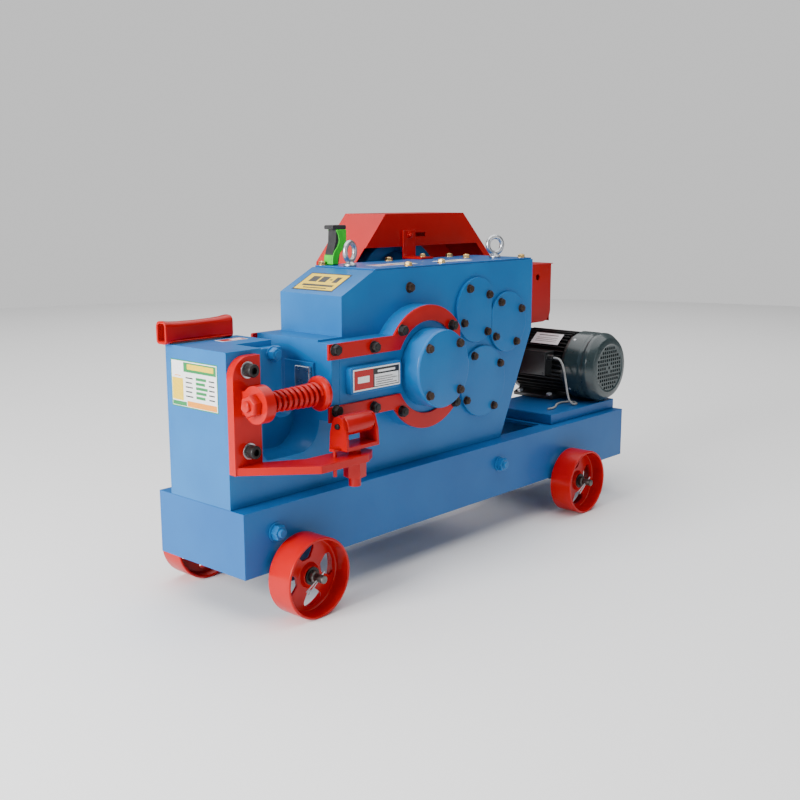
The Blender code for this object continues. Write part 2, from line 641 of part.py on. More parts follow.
def motor_lead():
    """The short grey lead that leaves the terminal box and lies in one loose loop on the rail."""
    smooth = smooth_route([Vector(point) for point in LEAD_ROUTE], LEAD_POINTS)
    curve = bpy.data.curves.new("motor_lead", "CURVE")
    curve.dimensions = "3D"
    curve.bevel_depth = LEAD_RADIUS * MM
    curve.bevel_resolution = 2
    curve.use_fill_caps = True
    spline = curve.splines.new("POLY")
    spline.points.add(len(smooth) - 1)
    for point, place in zip(spline.points, smooth):
        point.co = (*(place * MM), 1)
    lead = bpy.data.objects.new("motor_lead", curve)
    lead.parent = bpy.data.objects["machine"]
    bpy.data.collections["rebar_cutter"].objects.link(lead)
    curve.materials.append(material("motor_lead", GREY_CABLE))


# ---------------------------------------------------------------- bracket, press and roller

def clamp_bracket():
    """A thick upright plate with a boss for the press rod, and an arm that carries the roller."""
    upright = rounded([(0, 312, 0), (70, 312, 0), (70, 548, 0), (0, 548, 42)], 6)
    bracket = plate("clamp_bracket", [upright], 20, BODY_FRONT - GAP, RED)
    arm = rounded([
        (2, 22, 0), (70, 22, 0), (146, -24, 0), (296, -28, 10), (300, ARM_FRONT + 24, 10),
        (262, ARM_FRONT, 14), (128, ARM_FRONT, 6),
    ], 3)
    join(bracket, plate("arm", [arm], 312, 328, None, "Z"))
    join(bracket, rod("press_boss", 38, (21, PRESS_Y, PRESS_Z), 24, "X", sides=32))
    join(bracket, box("boss_weld", (21, 45), (8, 24), (PRESS_Z - 24, PRESS_Z + 24)))
    join(bracket, plate("post_boss", [hexagon((FORK_X, FORK_Y), 42, 11)], 276, 314, None, "Z"))
    cut(bracket, rod("rod_hole", 11.4, (0, PRESS_Y, PRESS_Z), 60, "X"))
    cut(bracket, rod("post_hole", 13.4, (FORK_X, FORK_Y, 270), 70, "Z"))
    cut(bracket, rod("pin_hole", 4.4, (FORK_X - 58, FORK_Y, 300), 40, "Z", sides=12))
    for name, z in (("upper", 521), ("lower", 357)):
        cut(bracket, rod("bolt_hole", 9.4, (37, 10, z), 40, "Y", sides=16))
        bolt = rod(f"{name}_bracket_bolt", 9, (37, 6, z), BODY_FRONT - 6 - GAP, "Y", DARK_STEEL, sides=16)
        join(bolt, rod("bolt_head", 13.5, (37, -2, z), 22 - GAP, "Y"))


def press():
    """A sprung rod through the boss, with a nut outside and a disc that leans on the bar."""
    rod("press_rod", 11, (-4, PRESS_Y, PRESS_Z), 204, "X", RED)
    nut = plate("press_nut", [hexagon((PRESS_Y, PRESS_Z), 41, 17), circle((PRESS_Y, PRESS_Z), 11 + GAP, 16)], -9, 9, RED)
    nut.rotation_euler = (0, 0, math.pi / 2)
    nut.location.x = 11.5 * MM
    ring("press_disc", 36, 11 + GAP, 187, 12, (0, PRESS_Y, PRESS_Z), "X", RED)
    ring("press_spring", 23, 17, 45.6, 141, (0, PRESS_Y, PRESS_Z), "X", RED)


def roller_support():
    """A steel roller in a fork whose post stands in the arm, kept straight by a guide pin."""
    half, cheek = 48, 26
    fork = box("roller_fork", (FORK_X - half, FORK_X + half), (FORK_Y - cheek, FORK_Y + cheek), (340, 348), RED)
    side = rounded([(-cheek, 342, 0), (cheek, 342, 0), (cheek - 2, 375, 8), (13, 410, 12), (-13, 410, 12),
                    (2 - cheek, 375, 8)], 2)
    for low in (-half, half - 7):
        ear = plate("fork_ear", [side], -3.5, 3.5)
        ear.rotation_euler = (0, 0, math.pi / 2)
        ear.location = Vector((FORK_X + low + 3.5, FORK_Y, 0)) * MM
        join(fork, ear)
    join(fork, rod("fork_post", 13, (FORK_X, FORK_Y, 256), 86, "Z"))
    join(fork, rod("guide_pin", 4, (FORK_X - 58, FORK_Y, 286), 58, "Z", sides=12))
    join(fork, box("pin_lug", (FORK_X - 66, FORK_X - 46), (FORK_Y - 8, FORK_Y + 8), (340, 346)))
    cut(fork, rod("ear_holes", 6.3, (FORK_X - 60, FORK_Y, ROLLER_Z), 120, "X", sides=16))
    rod("roller_pin", 6, (FORK_X - 53, FORK_Y, ROLLER_Z), 106, "X", STEEL, sides=16)
    ring("roller", 22, 6.3, -39.5, 79, (FORK_X, FORK_Y, ROLLER_Z), "X", RED)


# ---------------------------------------------------------------- guard, handle and grip

def belt_guard():
    """A folded sheet cover over the flywheel and belts, cut away in front for the housing and motor."""
    outside = [
        (590, 692), (697, 812), (1008, 812), (1133, 690), (1172, 655), (1438, 655), (1438, 320),
        (1405, 290), (1330, 290), (860, 374), (680, 374), (590, 470),
    ]
    guard = plate("belt_guard", [outside], GUARD_FRONT, GUARD_BACK, RED)
    inside = offset_outline(outside, SHEET)
    cut(guard, plate("guard_inside", [inside], GUARD_FRONT + SHEET, GUARD_BACK - SHEET))
    front = [
        (580, 290), (580, 700), (612, 729), (1066, 729), (1104, 692), (1300, 640), (1300, 480),
        (1400, 480), (1416, 483), (1428, 491), (1436, 503), (1439, 518), (1450, 518), (1450, 290),
    ]
    cut(guard, plate("guard_front_opening", [front], GUARD_FRONT - 5, GUARD_FRONT + SHEET + 1))
    cut(guard, box("motor_notch", (1270, 1450), (GUARD_FRONT - 5, 336), (290, 480)))
    cut(guard, box("drain_slot", (720, 880), (GUARD_FRONT + 20, GUARD_BACK - 20), (370, 380)))
    cut(guard, rod("guard_hole", 9, (1368, GUARD_FRONT - 5, 616), 20, "Y"))
    cut(guard, box("stay_slot", (790, 850), (GUARD_FRONT - 5, GUARD_FRONT + 8), (753, 763)))


def offset_outline(outline, distance):
    """The same outline moved inwards, for one that runs clockwise."""
    moved = []
    for number, point in enumerate(outline):
        here = Vector(point)
        before = (here - Vector(outline[number - 1])).normalized()
        after = (Vector(outline[(number + 1) % len(outline)]) - here).normalized()
        first = Vector((before.y, -before.x))
        second = Vector((after.y, -after.x))
        shift = (first + second).normalized() * distance / math.cos(first.angle(second) / 2)
        moved.append(tuple(here + shift))
    return moved


def guard_stay():
    """An angle of flat bar from the top cover up to the guard's front."""
    top = HOOD_TOP + 4 + GAP
    stay = box("guard_stay", (758, 806), (GUARD_FRONT - 5 - GAP, GUARD_FRONT - GAP), (top, 770), RED)
    join(stay, box("stay_foot", (758, 806), (196, GUARD_FRONT - 2), (top, top + 5)))


def handle_and_grip():
    """The towing handle on the anvil block, and the upright rubber grip behind the left lifting eye."""
    profile = ((0, HANDLE_RIGHT - HANDLE_LEFT), (21, HANDLE_RIGHT - HANDLE_LEFT),
               (24, HANDLE_RIGHT - HANDLE_LEFT - 6), (22, 90), (24, 8), (21, 0), (0, 0))
    tube = turned("handle", profile, (HANDLE_LEFT, 229, BLOCK_TOP + 24 + GAP), "X", RED, 24)
    tube.scale = (1, 0.68, 1)
    cut(tube, rod("handle_hole", 8, (HANDLE_LEFT - 5, 229, BLOCK_TOP + 24), 40, "X", sides=16))
    grip = plate("hand_grip", [rounded([
        (452, 698.3, 0), (468, 698.3, 0), (474, 726, 12), (490, 748, 14), (492, 784, 4), (462, 788, 4),
        (460, 752, 12), (450, 724, 12),
    ], 3)], 200, 226, GREEN)
    bevel(grip, 4, 2)


def build():
    make_scene()
    base_frame()
    axles_and_bolts()
    wheels()
    housing()
    covers()
    lifting_eyes()
    crankshaft()
    ram_and_rod()
    blades()
    gears_and_shafts()
    belt_drive()
    motor()
    motor_lead()
    clamp_bracket()
    press()
    roller_support()
    belt_guard()
    guard_stay()
    handle_and_grip()
    use_manifold("gearbox_housing", "clamp_bracket", "belt_guard", "v_belt")


build()
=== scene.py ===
"""The looks of the rebar cutter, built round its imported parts."""

import json
import math

import bmesh
import bpy
from mathutils import Matrix, Vector

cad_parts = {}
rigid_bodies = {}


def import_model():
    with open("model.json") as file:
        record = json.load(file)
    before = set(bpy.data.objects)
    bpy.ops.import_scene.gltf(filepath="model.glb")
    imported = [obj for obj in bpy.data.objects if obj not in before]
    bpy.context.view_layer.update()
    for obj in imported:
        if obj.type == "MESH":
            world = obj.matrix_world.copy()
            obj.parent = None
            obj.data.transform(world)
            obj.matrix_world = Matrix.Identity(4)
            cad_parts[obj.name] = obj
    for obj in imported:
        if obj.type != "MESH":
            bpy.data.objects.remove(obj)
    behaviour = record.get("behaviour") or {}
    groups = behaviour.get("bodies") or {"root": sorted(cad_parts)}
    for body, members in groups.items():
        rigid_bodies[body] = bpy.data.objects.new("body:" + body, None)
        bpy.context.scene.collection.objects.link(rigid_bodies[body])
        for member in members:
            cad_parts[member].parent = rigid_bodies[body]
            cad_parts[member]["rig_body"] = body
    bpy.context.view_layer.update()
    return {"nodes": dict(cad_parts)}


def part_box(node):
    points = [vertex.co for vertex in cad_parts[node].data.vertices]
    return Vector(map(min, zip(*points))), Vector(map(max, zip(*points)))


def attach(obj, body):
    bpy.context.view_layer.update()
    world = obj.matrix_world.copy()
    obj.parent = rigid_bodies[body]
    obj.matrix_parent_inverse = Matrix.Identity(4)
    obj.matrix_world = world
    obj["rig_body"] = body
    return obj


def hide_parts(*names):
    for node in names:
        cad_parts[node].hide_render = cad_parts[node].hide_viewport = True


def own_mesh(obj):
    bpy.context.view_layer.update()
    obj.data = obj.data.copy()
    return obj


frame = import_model()

# ---------------------------------------------------------------- where things stand
# The machine is drawn in millimetres from the frame's left front corner at floor level: X runs along
# the frame, Y runs back from the operator, Z up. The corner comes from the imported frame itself.

MM = 0.001
frame_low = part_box("base_frame")[0]
corner = Vector((frame_low.x, frame_low.y, 0))


def spot(x, y, z):
    return corner + Vector((x, y, z)) * MM


def placed(name, data):
    """A new object of the scene that holds a mesh, curve, camera or light."""
    made = bpy.data.objects.new(name, data)
    bpy.context.scene.collection.objects.link(made)
    return made


camera = placed("camera", bpy.data.cameras.new("camera"))
camera.data.lens = 47.8
camera.data.clip_end = 50
camera.location = spot(-1286.8, -1584.7, 853)
azimuth, elevation, roll = math.radians(-47.8), math.radians(10.8), math.radians(-0.1)
back = Vector((
    math.sin(azimuth) * math.cos(elevation), -math.cos(azimuth) * math.cos(elevation), math.sin(elevation)))
camera.rotation_euler = (
    (-back).to_track_quat("-Z", "Y").to_matrix() @ Matrix.Rotation(roll, 3, "Z")).to_euler()
bpy.context.scene.camera = camera

# ---------------------------------------------------------------- studio
# A pale floor, a key light to the left of the machine, a weak one in front and a wide one high above
# the floor, so that the end face is bright, the long side is calm and the underside stays dark. The
# white surroundings look bright, and add only a little light to the machine.

FLOOR_RADIUS = 6500
SURROUNDINGS_SEEN, SURROUNDINGS_LIGHT = 0.8, 0.18

shape = bmesh.new()
bmesh.ops.create_circle(shape, cap_ends=True, segments=160, radius=FLOOR_RADIUS * MM)
floor_mesh = bpy.data.meshes.new("floor")
shape.to_mesh(floor_mesh)
shape.free()
floor = placed("floor", floor_mesh)
floor_finish = bpy.data.materials.new("pale_floor")
floor_finish.use_nodes = True
floor_shader = floor_finish.node_tree.nodes["Principled BSDF"]
floor_shader.inputs["Base Color"].default_value = (0.93, 0.93, 0.93, 1)
floor_shader.inputs["Roughness"].default_value = 0.6
floor_mesh.materials.append(floor_finish)

surroundings = bpy.data.worlds.new("studio")
surroundings.use_nodes = True
world_tree = surroundings.node_tree
world_tree.nodes["Background"].inputs["Color"].default_value = (1, 1, 1, 1)
glow = world_tree.nodes.new("ShaderNodeMapRange")
glow.inputs["To Min"].default_value = SURROUNDINGS_LIGHT
glow.inputs["To Max"].default_value = SURROUNDINGS_SEEN
rays = world_tree.nodes.new("ShaderNodeLightPath")
world_tree.links.new(rays.outputs["Is Camera Ray"], glow.inputs["Value"])
world_tree.links.new(glow.outputs["Result"], world_tree.nodes["Background"].inputs["Strength"])
bpy.context.scene.world = surroundings

# Each light's power in watts, its size in metres, its place and what it points at.
for name, power, size, place, target in (
    ("key_light", 250, 1.6, (-3100, 300, 1500), (500, 140, 350)),
    ("front_light", 16, 2.2, (900, -3000, 1500), (700, 140, 350)),
    ("top_light", 640, 9.0, (1500, 1500, 5500), (1500, 1500, 0)),
):
    light = placed(name, bpy.data.lights.new(name, "AREA"))
    light.data.energy = power
    light.data.size = size
    light.location = spot(*place)
    light.rotation_euler = (spot(*place) - spot(*target)).to_track_quat("Z", "Y").to_euler()

# ---------------------------------------------------------------- motor lead
# A short light-grey two-core lead comes out of the gland on the front of the terminal box. It is limp
# PVC, hangs down to the motor rail, lies there in one loose loop and ends bare.


def surface(name, dark, light, scale, roughness, metallic=0.0, peel=0.0, peel_scale=600, coarse=0.0,
            coarse_scale=120, coat=0.0, gleam=0.5):
    """A finish whose colour and gloss drift slightly, over a fine and a coarse relief."""
    made = bpy.data.materials.new(name)
    made.use_nodes = True
    tree = made.node_tree
    shader = tree.nodes["Principled BSDF"]
    shader.inputs["Metallic"].default_value = metallic
    shader.inputs["Specular IOR Level"].default_value = gleam
    shader.inputs["Coat Weight"].default_value = coat
    shader.inputs["Coat Roughness"].default_value = 0.12
    place = tree.nodes.new("ShaderNodeTexCoord")

    def noise(size, detail):
        made_noise = tree.nodes.new("ShaderNodeTexNoise")
        made_noise.inputs["Scale"].default_value = size
        made_noise.inputs["Detail"].default_value = detail
        tree.links.new(place.outputs["Object"], made_noise.inputs["Vector"])
        return made_noise

    drift = noise(scale, 5)
    colours = tree.nodes.new("ShaderNodeValToRGB")
    colours.color_ramp.elements[0].position, colours.color_ramp.elements[1].position = 0.32, 0.68
    colours.color_ramp.elements[0].color = (*dark, 1)
    colours.color_ramp.elements[1].color = (*light, 1)
    tree.links.new(drift.outputs["Fac"], colours.inputs["Fac"])
    tree.links.new(colours.outputs["Color"], shader.inputs["Base Color"])
    gloss = tree.nodes.new("ShaderNodeMapRange")
    gloss.inputs["To Min"].default_value = roughness - 0.06
    gloss.inputs["To Max"].default_value = roughness + 0.08
    tree.links.new(noise(scale * 3.1, 3).outputs["Fac"], gloss.inputs["Value"])
    tree.links.new(gloss.outputs["Result"], shader.inputs["Roughness"])
    relief = None
    for strength, size, depth in ((coarse, coarse_scale, 0.0006), (peel, peel_scale, 0.0002)):
        if strength:
            bump = tree.nodes.new("ShaderNodeBump")
            bump.inputs["Strength"].default_value = strength
            bump.inputs["Distance"].default_value = depth
            tree.links.new(noise(size, 1.5).outputs["Fac"], bump.inputs["Height"])
            if relief:
                tree.links.new(relief.outputs["Normal"], bump.inputs["Normal"])
            relief = bump
    if relief:
        tree.links.new(relief.outputs["Normal"], shader.inputs["Normal"])
    return made


def wire(name, places, radius):
    """A round wire or cord along close places, with closed ends."""
    curve = bpy.data.curves.new(name, "CURVE")
    curve.dimensions = "3D"
    curve.bevel_depth = radius * MM
    curve.bevel_resolution = 4
    curve.use_fill_caps = True
    line = curve.splines.new("POLY")
    line.points.add(len(places) - 1)
    for point, place in zip(line.points, places):
        point.co = (*place, 1)
    return curve


cable_sheath = surface("cable_sheath", (0.30, 0.30, 0.29), (0.44, 0.44, 0.42), 90, 0.55, peel=0.3)
LEAD_DIAMETER = 6
STEPS_A_STRETCH = 8
lead_route = (
    (1266, 129.5, 396), (1266, 121, 396), (1266, 112, 394), (1265.5, 104, 388), (1265, 97, 377),
    (1264, 91, 361), (1263, 86, 342), (1262, 81, 321), (1261, 76.5, 302), (1260, 71, 286),
    (1260, 64.5, 275), (1263, 58.5, 269.8), (1270, 55.5, 268.4), (1280, 57, 268.4), (1289, 63.5, 268.4),
    (1294, 74, 268.4), (1292, 86, 268.4), (1283, 95, 268.4), (1270, 99, 268.4), (1256, 99, 268.4),
    (1242, 96, 268.4), (1229, 91, 268.4), (1216, 84, 268.4), (1203, 77, 268.4), (1188, 72, 268.4),
    (1172, 70, 268.4), (1158, 73, 268.4),
)
guide = [spot(*point) for point in lead_route]
padded = [guide[0] * 2 - guide[1], *guide, guide[-1] * 2 - guide[-2]]
lead_points = [guide[0]]
for before, start, end, after in zip(padded, padded[1:], padded[2:], padded[3:]):
    for step in range(1, STEPS_A_STRETCH + 1):
        t = step / STEPS_A_STRETCH
        lead_points.append(0.5 * (
            2 * start + (end - before) * t + (2 * before - 5 * start + 4 * end - after) * t ** 2
            + (3 * start - before - 3 * end + after) * t ** 3))
lead_curve = wire("motor_lead_cable", lead_points, LEAD_DIAMETER / 2)
lead_curve.materials.append(cable_sheath)
motor_lead = placed("motor_lead_cable", lead_curve)
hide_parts("motor_lead")
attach(motor_lead, "machine")

# ---------------------------------------------------------------- frame and motor rail
# Side rails of rolled channel with an end plate and cross strips, welded into one frame and sprayed
# blue; the motor stands on a shallow folded rail of the same paint. Their blue is drawn darker than the
# casting's, as painted shade for the light that falls off low on the machine. Rolled edges are slightly
# round.

# The first blue is the casting's enamel made darker, as painted shade for the light falling off low down; the
# second is the machine's own blue.
shaded_blue_paint = surface(
    "blue_enamel", (0.006, 0.100, 0.320), (0.010, 0.124, 0.370), 5, 0.36, peel=0.12, coat=0.05, gleam=0.25)
cast_blue = surface(
    "blue_enamel_on_casting", (0.010, 0.130, 0.370), (0.015, 0.158, 0.425), 7, 0.36, peel=0.12, coarse=0.22,
    coarse_scale=170, coat=0.05, gleam=0.25)


def show(name, shape, finishes, body, edges=0.0, segments=2, stands_for=(), sharp=32):
    """Turn a bmesh into a piece that rides on a body, with its edges rounded if a width is given."""
    mesh = bpy.data.meshes.new(name)
    shape.to_mesh(mesh)
    shape.free()
    mesh.shade_smooth()
    piece = placed(name, mesh)
    for finish in finishes if isinstance(finishes, (list, tuple)) else [finishes]:
        mesh.materials.append(finish)
    if edges:
        rounding = piece.modifiers.new("rounded edges", "BEVEL")
        rounding.width = edges * MM
        rounding.segments = segments
        rounding.limit_method = "ANGLE"
        rounding.angle_limit = math.radians(sharp)
        evening = piece.modifiers.new("even shading", "WEIGHTED_NORMAL")
        evening.keep_sharp = True
    else:
        mesh.set_sharp_from_angle(angle=math.radians(sharp))
    if stands_for:
        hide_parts(*stands_for)
    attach(piece, body)
    return piece


def softened(node, finish, edges, segments):
    """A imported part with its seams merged, its flat faces whole again and its edges rounded."""
    shape = bmesh.new()
    shape.from_mesh(frame["nodes"][node].data)
    bmesh.ops.remove_doubles(shape, verts=shape.verts, dist=0.000004)
    bmesh.ops.dissolve_limit(shape, angle_limit=math.radians(0.5), verts=shape.verts, edges=shape.edges)
    body = frame["nodes"][node]["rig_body"]
    return show(f"{node}_finished", shape, finish, body, edges, segments, [node])


softened("base_frame", shaded_blue_paint, 2.5, 3)
softened("motor_rail", shaded_blue_paint, 2, 3)

# ---------------------------------------------------------------- tie bolts
# Two long studs hold the rails together, with a plate washer and a chamfered hexagon nut at each
# end and a little thread standing out. They were sprayed blue with the frame.

TIE_BOLT_Z, RAIL_DEPTH = 183, 280
THREAD_DEPTH, THREAD_LENGTH = 1.1, 22
# A hexagon's straight side is this share of its height, and its chamfered top this share of its width.
HEXAGON_SIDE, HEXAGON_TOP = 0.82, 0.86


def lathe(profile, centre, axis, steps=96):
    """Spin (radius, distance along the axis) points, in millimetres, round an axis through centre."""
    shape = bmesh.new()
    along = Vector(axis)
    outward = Vector((0, 0, 1)) if abs(along.x) > 0.5 else Vector((1, 0, 0))
    points = [shape.verts.new(centre + (outward * radius + along * reach) * MM) for radius, reach in profile]
    hollow = all(radius > 0 for radius, _ in profile)
    pairs = zip(points, points[1:] + points[:1]) if hollow else zip(points, points[1:])
    edges = [shape.edges.new(pair) for pair in pairs]
    bmesh.ops.spin(
        shape, geom=points + edges, cent=centre, axis=along, dvec=(0, 0, 0), angle=math.tau, steps=steps,
        use_merge=True, use_duplicate=False)
    bmesh.ops.remove_doubles(shape, verts=shape.verts, dist=0.000001)
    bmesh.ops.recalc_face_normals(shape, faces=shape.faces)
    return shape


def facing(place, axis):
    """The matrix that stands a shape made along Z at a place, pointing along an axis."""
    turn = Vector((0, 0, 1)).rotation_difference(Vector(axis))
    return Matrix.Translation(place) @ turn.to_matrix().to_4x4()


def add_round(shape, place, axis, radius, length, end_radius=None, sides=40):
    """Add a capped cylinder or cone that starts at a place and runs along an axis, in millimetres."""
    return bmesh.ops.create_cone(
        shape, cap_ends=True, segments=sides, radius1=radius * MM,
        radius2=(radius if end_radius is None else end_radius) * MM, depth=length * MM,
        matrix=facing(place, axis) @ Matrix.Translation((0, 0, length * MM / 2)))


def add_hexagon(shape, place, axis, across_flats, height, turn=0.0):
    """Add a nut or bolt head whose outer corners are chamfered by a short cone on top."""
    radius = across_flats / math.sqrt(3)
    side = height * HEXAGON_SIDE
    stand = facing(place, axis) @ Matrix.Rotation(turn, 4, "Z")
    for start, length, top in ((0, side, radius), (side, height - side, radius * HEXAGON_TOP)):
        bmesh.ops.create_cone(
            shape, cap_ends=True, segments=6, radius1=radius * MM, radius2=top * MM, depth=length * MM,
            matrix=stand @ Matrix.Translation((0, 0, (start + length / 2) * MM)))


def threaded_end(radius, start, length, pitch=2.0):
    """The outer side of a screw thread as (radius, distance) points."""
    turns = int(length / pitch)
    profile = []
    for number in range(turns):
        base = start + number * pitch
        profile += [(radius - THREAD_DEPTH, base), (radius, base + pitch / 2)]
    return profile + [(radius - THREAD_DEPTH, start + turns * pitch)]


for side, x in (("left", 84), ("right", 840)):
    profile = [(0, -23), (8, -23), *threaded_end(10, -THREAD_LENGTH, THREAD_LENGTH), (9.8, 0),
               (9.8, RAIL_DEPTH), *threaded_end(10, RAIL_DEPTH, THREAD_LENGTH), (8, RAIL_DEPTH + 23),
               (0, RAIL_DEPTH + 23)]
    shape = lathe(profile, spot(x, 0, TIE_BOLT_Z), (0, 1, 0), 32)
    for y, direction in ((-0.3, -1), (RAIL_DEPTH + 0.3, 1)):
        add_round(shape, spot(x, y, TIE_BOLT_Z), (0, direction, 0), 20.5, 2.5)
        add_hexagon(shape, spot(x, y + direction * 2.5, TIE_BOLT_Z), (0, direction, 0), 30, 14, 0.4)
    show(f"{side}_tie_stud", shape, cast_blue, "machine", 0.5, 2, [f"{side}_tie_bolt"], 40)

# ---------------------------------------------------------------- wheels
# Four wheels: a rolled steel rim, a dished web with four openings and a hub, welded and dipped in red
# enamel. They turn on plain black axles, each held by a plate washer and a split pin.

red_paint = surface(
    "red_enamel", (0.400, 0.0001, 0.0003), (0.500, 0.0002, 0.0006), 6, 0.30, peel=0.12, coat=0.06, gleam=0.25)
black_steel = surface(
    "black_oxide", (0.018, 0.018, 0.020), (0.040, 0.038, 0.036), 70, 0.42, metallic=0.7, peel=0.2)
worn_steel = surface(
    "worn_black_steel", (0.045, 0.043, 0.040), (0.190, 0.185, 0.175), 55, 0.40, metallic=0.9, peel=0.25)
zinc = surface("zinc_plate", (0.42, 0.44, 0.47), (0.62, 0.64, 0.66), 60, 0.32, metallic=1.0, peel=0.2)
WHEEL_RADIUS, RIM_HALF_WIDTH, WINDOW_RADIUS = 86, 32, 68
AXLE_Z = WHEEL_RADIUS
AXLE_XS = {"left": 136, "right": 1143}
# The middle of each row of wheels, and the way that their outer sides face along Y.
WHEEL_YS = {"front": (-42, -1), "rear": (322, 1)}


def arc(centre, radius, start, end, steps):
    """Points on a circle between two angles in degrees."""
    angles = [math.radians(start + (end - start) * step / steps) for step in range(steps + 1)]
    return [(centre[0] + radius * math.cos(a), centre[1] + radius * math.sin(a)) for a in angles]


def rounded(corners, steps=6):
    """An outline from (a, b, corner radius) points, each corner an arc."""
    outline = []
    for number, (a, b, radius) in enumerate(corners):
        here = Vector((a, b))
        if radius == 0:
            outline.append((a, b))
            continue
        before = (Vector(corners[number - 1][:2]) - here).normalized()
        after = (Vector(corners[(number + 1) % len(corners)][:2]) - here).normalized()
        half = before.angle(after) / 2
        middle = here + (before + after).normalized() * radius / math.sin(half)
        start = here + before * radius / math.tan(half) - middle
        turn = (here + after * radius / math.tan(half) - middle).angle_signed(start)
        for step in range(steps + 1):
            point = middle + Matrix.Rotation(turn * step / steps, 2) @ start
            outline.append((point.x, point.y))
    return outline


def slab(outline, low, high, across="Y"):
    """A flat outline as a plate between two values on the axis that it lies across."""
    shape = bmesh.new()
    place = {
        "X": lambda a, b: spot(low, a, b),
        "Y": lambda a, b: spot(a, low, b),
        "Z": lambda a, b: spot(a, b, low)}
    face = shape.faces.new([shape.verts.new(place[across](a, b)) for a, b in outline])
    grown = bmesh.ops.extrude_face_region(shape, geom=[face])
    moved = [v for v in grown["geom"] if isinstance(v, bmesh.types.BMVert)]
    thick = Vector({"X": (1, 0, 0), "Y": (0, 1, 0), "Z": (0, 0, 1)}[across]) * (high - low) * MM
    bmesh.ops.translate(shape, verts=moved, vec=thick)
    bmesh.ops.recalc_face_normals(shape, faces=shape.faces)
    return shape


def carve(shape, *cutters):
    """Cut closed shapes out of a closed shape, and give back the result as a new bmesh."""
    held = []
    for number, part in enumerate((shape, *cutters)):
        mesh = bpy.data.meshes.new(f"carving_{number}")
        part.to_mesh(mesh)
        part.free()
        held.append(placed(f"carving_{number}", mesh))
    for cutter in held[1:]:
        step = held[0].modifiers.new("cut", "BOOLEAN")
        step.object = cutter
    made = held[0].evaluated_get(bpy.context.evaluated_depsgraph_get()).to_mesh()
    result = bmesh.new()
    result.from_mesh(made)
    for thing in held:
        mesh = thing.data
        bpy.data.objects.remove(thing)
        bpy.data.meshes.remove(mesh)
    return result


def wheel_window(x, turn):
    """The outline of one opening in the web of a wheel at x, its middle turned to an angle in degrees."""
    wide = arc((0, 0), WINDOW_RADIUS, turn - 27, turn + 27, 1)
    rim_side = arc((0, 0), WINDOW_RADIUS, turn - 16, turn + 16, 8)
    hub_side = arc((0, 0), 36, turn + 16, turn - 16, 1)
    outline = rounded([
        (*wide[0], 9), *[(*point, 0) for point in rim_side], (*wide[1], 9),
        *[(*point, 7) for point in hub_side]], 4)
    return [(x + a, AXLE_Z + b) for a, b in outline]


wheel_profile = rounded([
    (WHEEL_RADIUS, -RIM_HALF_WIDTH, 2.5), (WHEEL_RADIUS, RIM_HALF_WIDTH, 2.5), (80, RIM_HALF_WIDTH, 2.5),
    (78, -3, 5), (26, -3, 5), (21, 6, 3), (13, 6, 1), (13, -26, 1), (22, -26, 3), (25, -9, 5), (78, -9, 5),
    (80, -RIM_HALF_WIDTH, 2.5)], 4)
for end, (y, outward) in WHEEL_YS.items():
    for side, x in AXLE_XS.items():
        node = f"{end}_{side}_wheel"
        middle = spot(x, y, AXLE_Z)
        wheel = lathe(wheel_profile, middle, (0, outward, 0))
        openings = [slab(wheel_window(x, turn), y - 14, y + 14) for turn in (10, 100, 190, 280)]
        show(f"{node}_painted", carve(wheel, *openings), red_paint, node, 0.8, 2, [node], 34)
        washer = lathe([(12.4, 6.4), (19, 6.4), (19, 9.4), (12.4, 9.4)], middle, (0, outward, 0), 48)
        show(f"{node}_washer", washer, black_steel, "machine", 0.4)
        pin = bmesh.new()
        for spread in (-0.1, 0.1):
            start = middle + Vector((13 * MM, outward * 31 * MM, 12 * MM))
            add_round(pin, start, (-0.76, -0.1 * outward, -0.65 + spread), 1.3, 58, sides=12)
        show(f"{node}_split_pin", pin, zinc, "machine", 0.3)

axle_profile = rounded([
    (0, -86, 0), (8.5, -86, 1.2), (8.5, -61, 0), (12, -59, 0.8), (12, 339, 0.8), (8.5, 341, 0),
    (8.5, 366, 1.2), (0, 366, 0)], 3)
for side, x in AXLE_XS.items():
    axle = lathe(axle_profile, spot(x, 0, AXLE_Z), (0, 1, 0), 48)
    show(f"{side}_axle_bar", axle, worn_steel, "machine", 0, 2, [f"{side}_axle"])

# ---------------------------------------------------------------- housing
# The anvil block, throat and gear chamber are one iron casting. It is fettled, filled and sprayed in
# the machine's blue, and its edges are round from the mould. The top cover and the rear cover get the
# frame's darker copy of that blue, whose darkening is painted shade.

softened("gearbox_housing", cast_blue, 4, 3)
softened("top_cover", shaded_blue_paint, 1, 2)
softened("rear_bearing_cover", shaded_blue_paint, 2, 2)
rear_plate = slab(rounded([(235, 474, 3), (398, 474, 3), (398, 556, 3), (235, 556, 3)], 3), 237.5, 245)
show("ram_rear_plate", rear_plate, red_paint, "machine", 1, 2, ())

# ---------------------------------------------------------------- ram cover, crank cap and red flange
# A cast cover fills the front opening and carries a raised name-plate box and a drum over the crank.
# A red plate frames it: two straight arms that run into a ring, held down by black bolts.

CRANK = (552, 469)


def flange_outline(arm, radius, left, right, steps=36):
    """Two straight arms that run into a circle round the crank, cut off square at both ends."""
    meet = math.degrees(math.asin(arm / radius))
    cut_off = math.degrees(math.acos(min(1, (right - CRANK[0]) / radius)))
    top = arc(CRANK, radius, 180 - meet, cut_off, steps)
    bottom = arc(CRANK, radius, -cut_off, meet - 180, steps)
    return [(left, CRANK[1] + arm), *top, *bottom, (left, CRANK[1] - arm)]


flange = slab(flange_outline(83.5, 143, 234, 668) + flange_outline(49.5, 107, 234, 658)[::-1], -6, -0.3)
show("cover_flange_plate", flange, red_paint, "machine", 1, 2, ["cover_flange"])

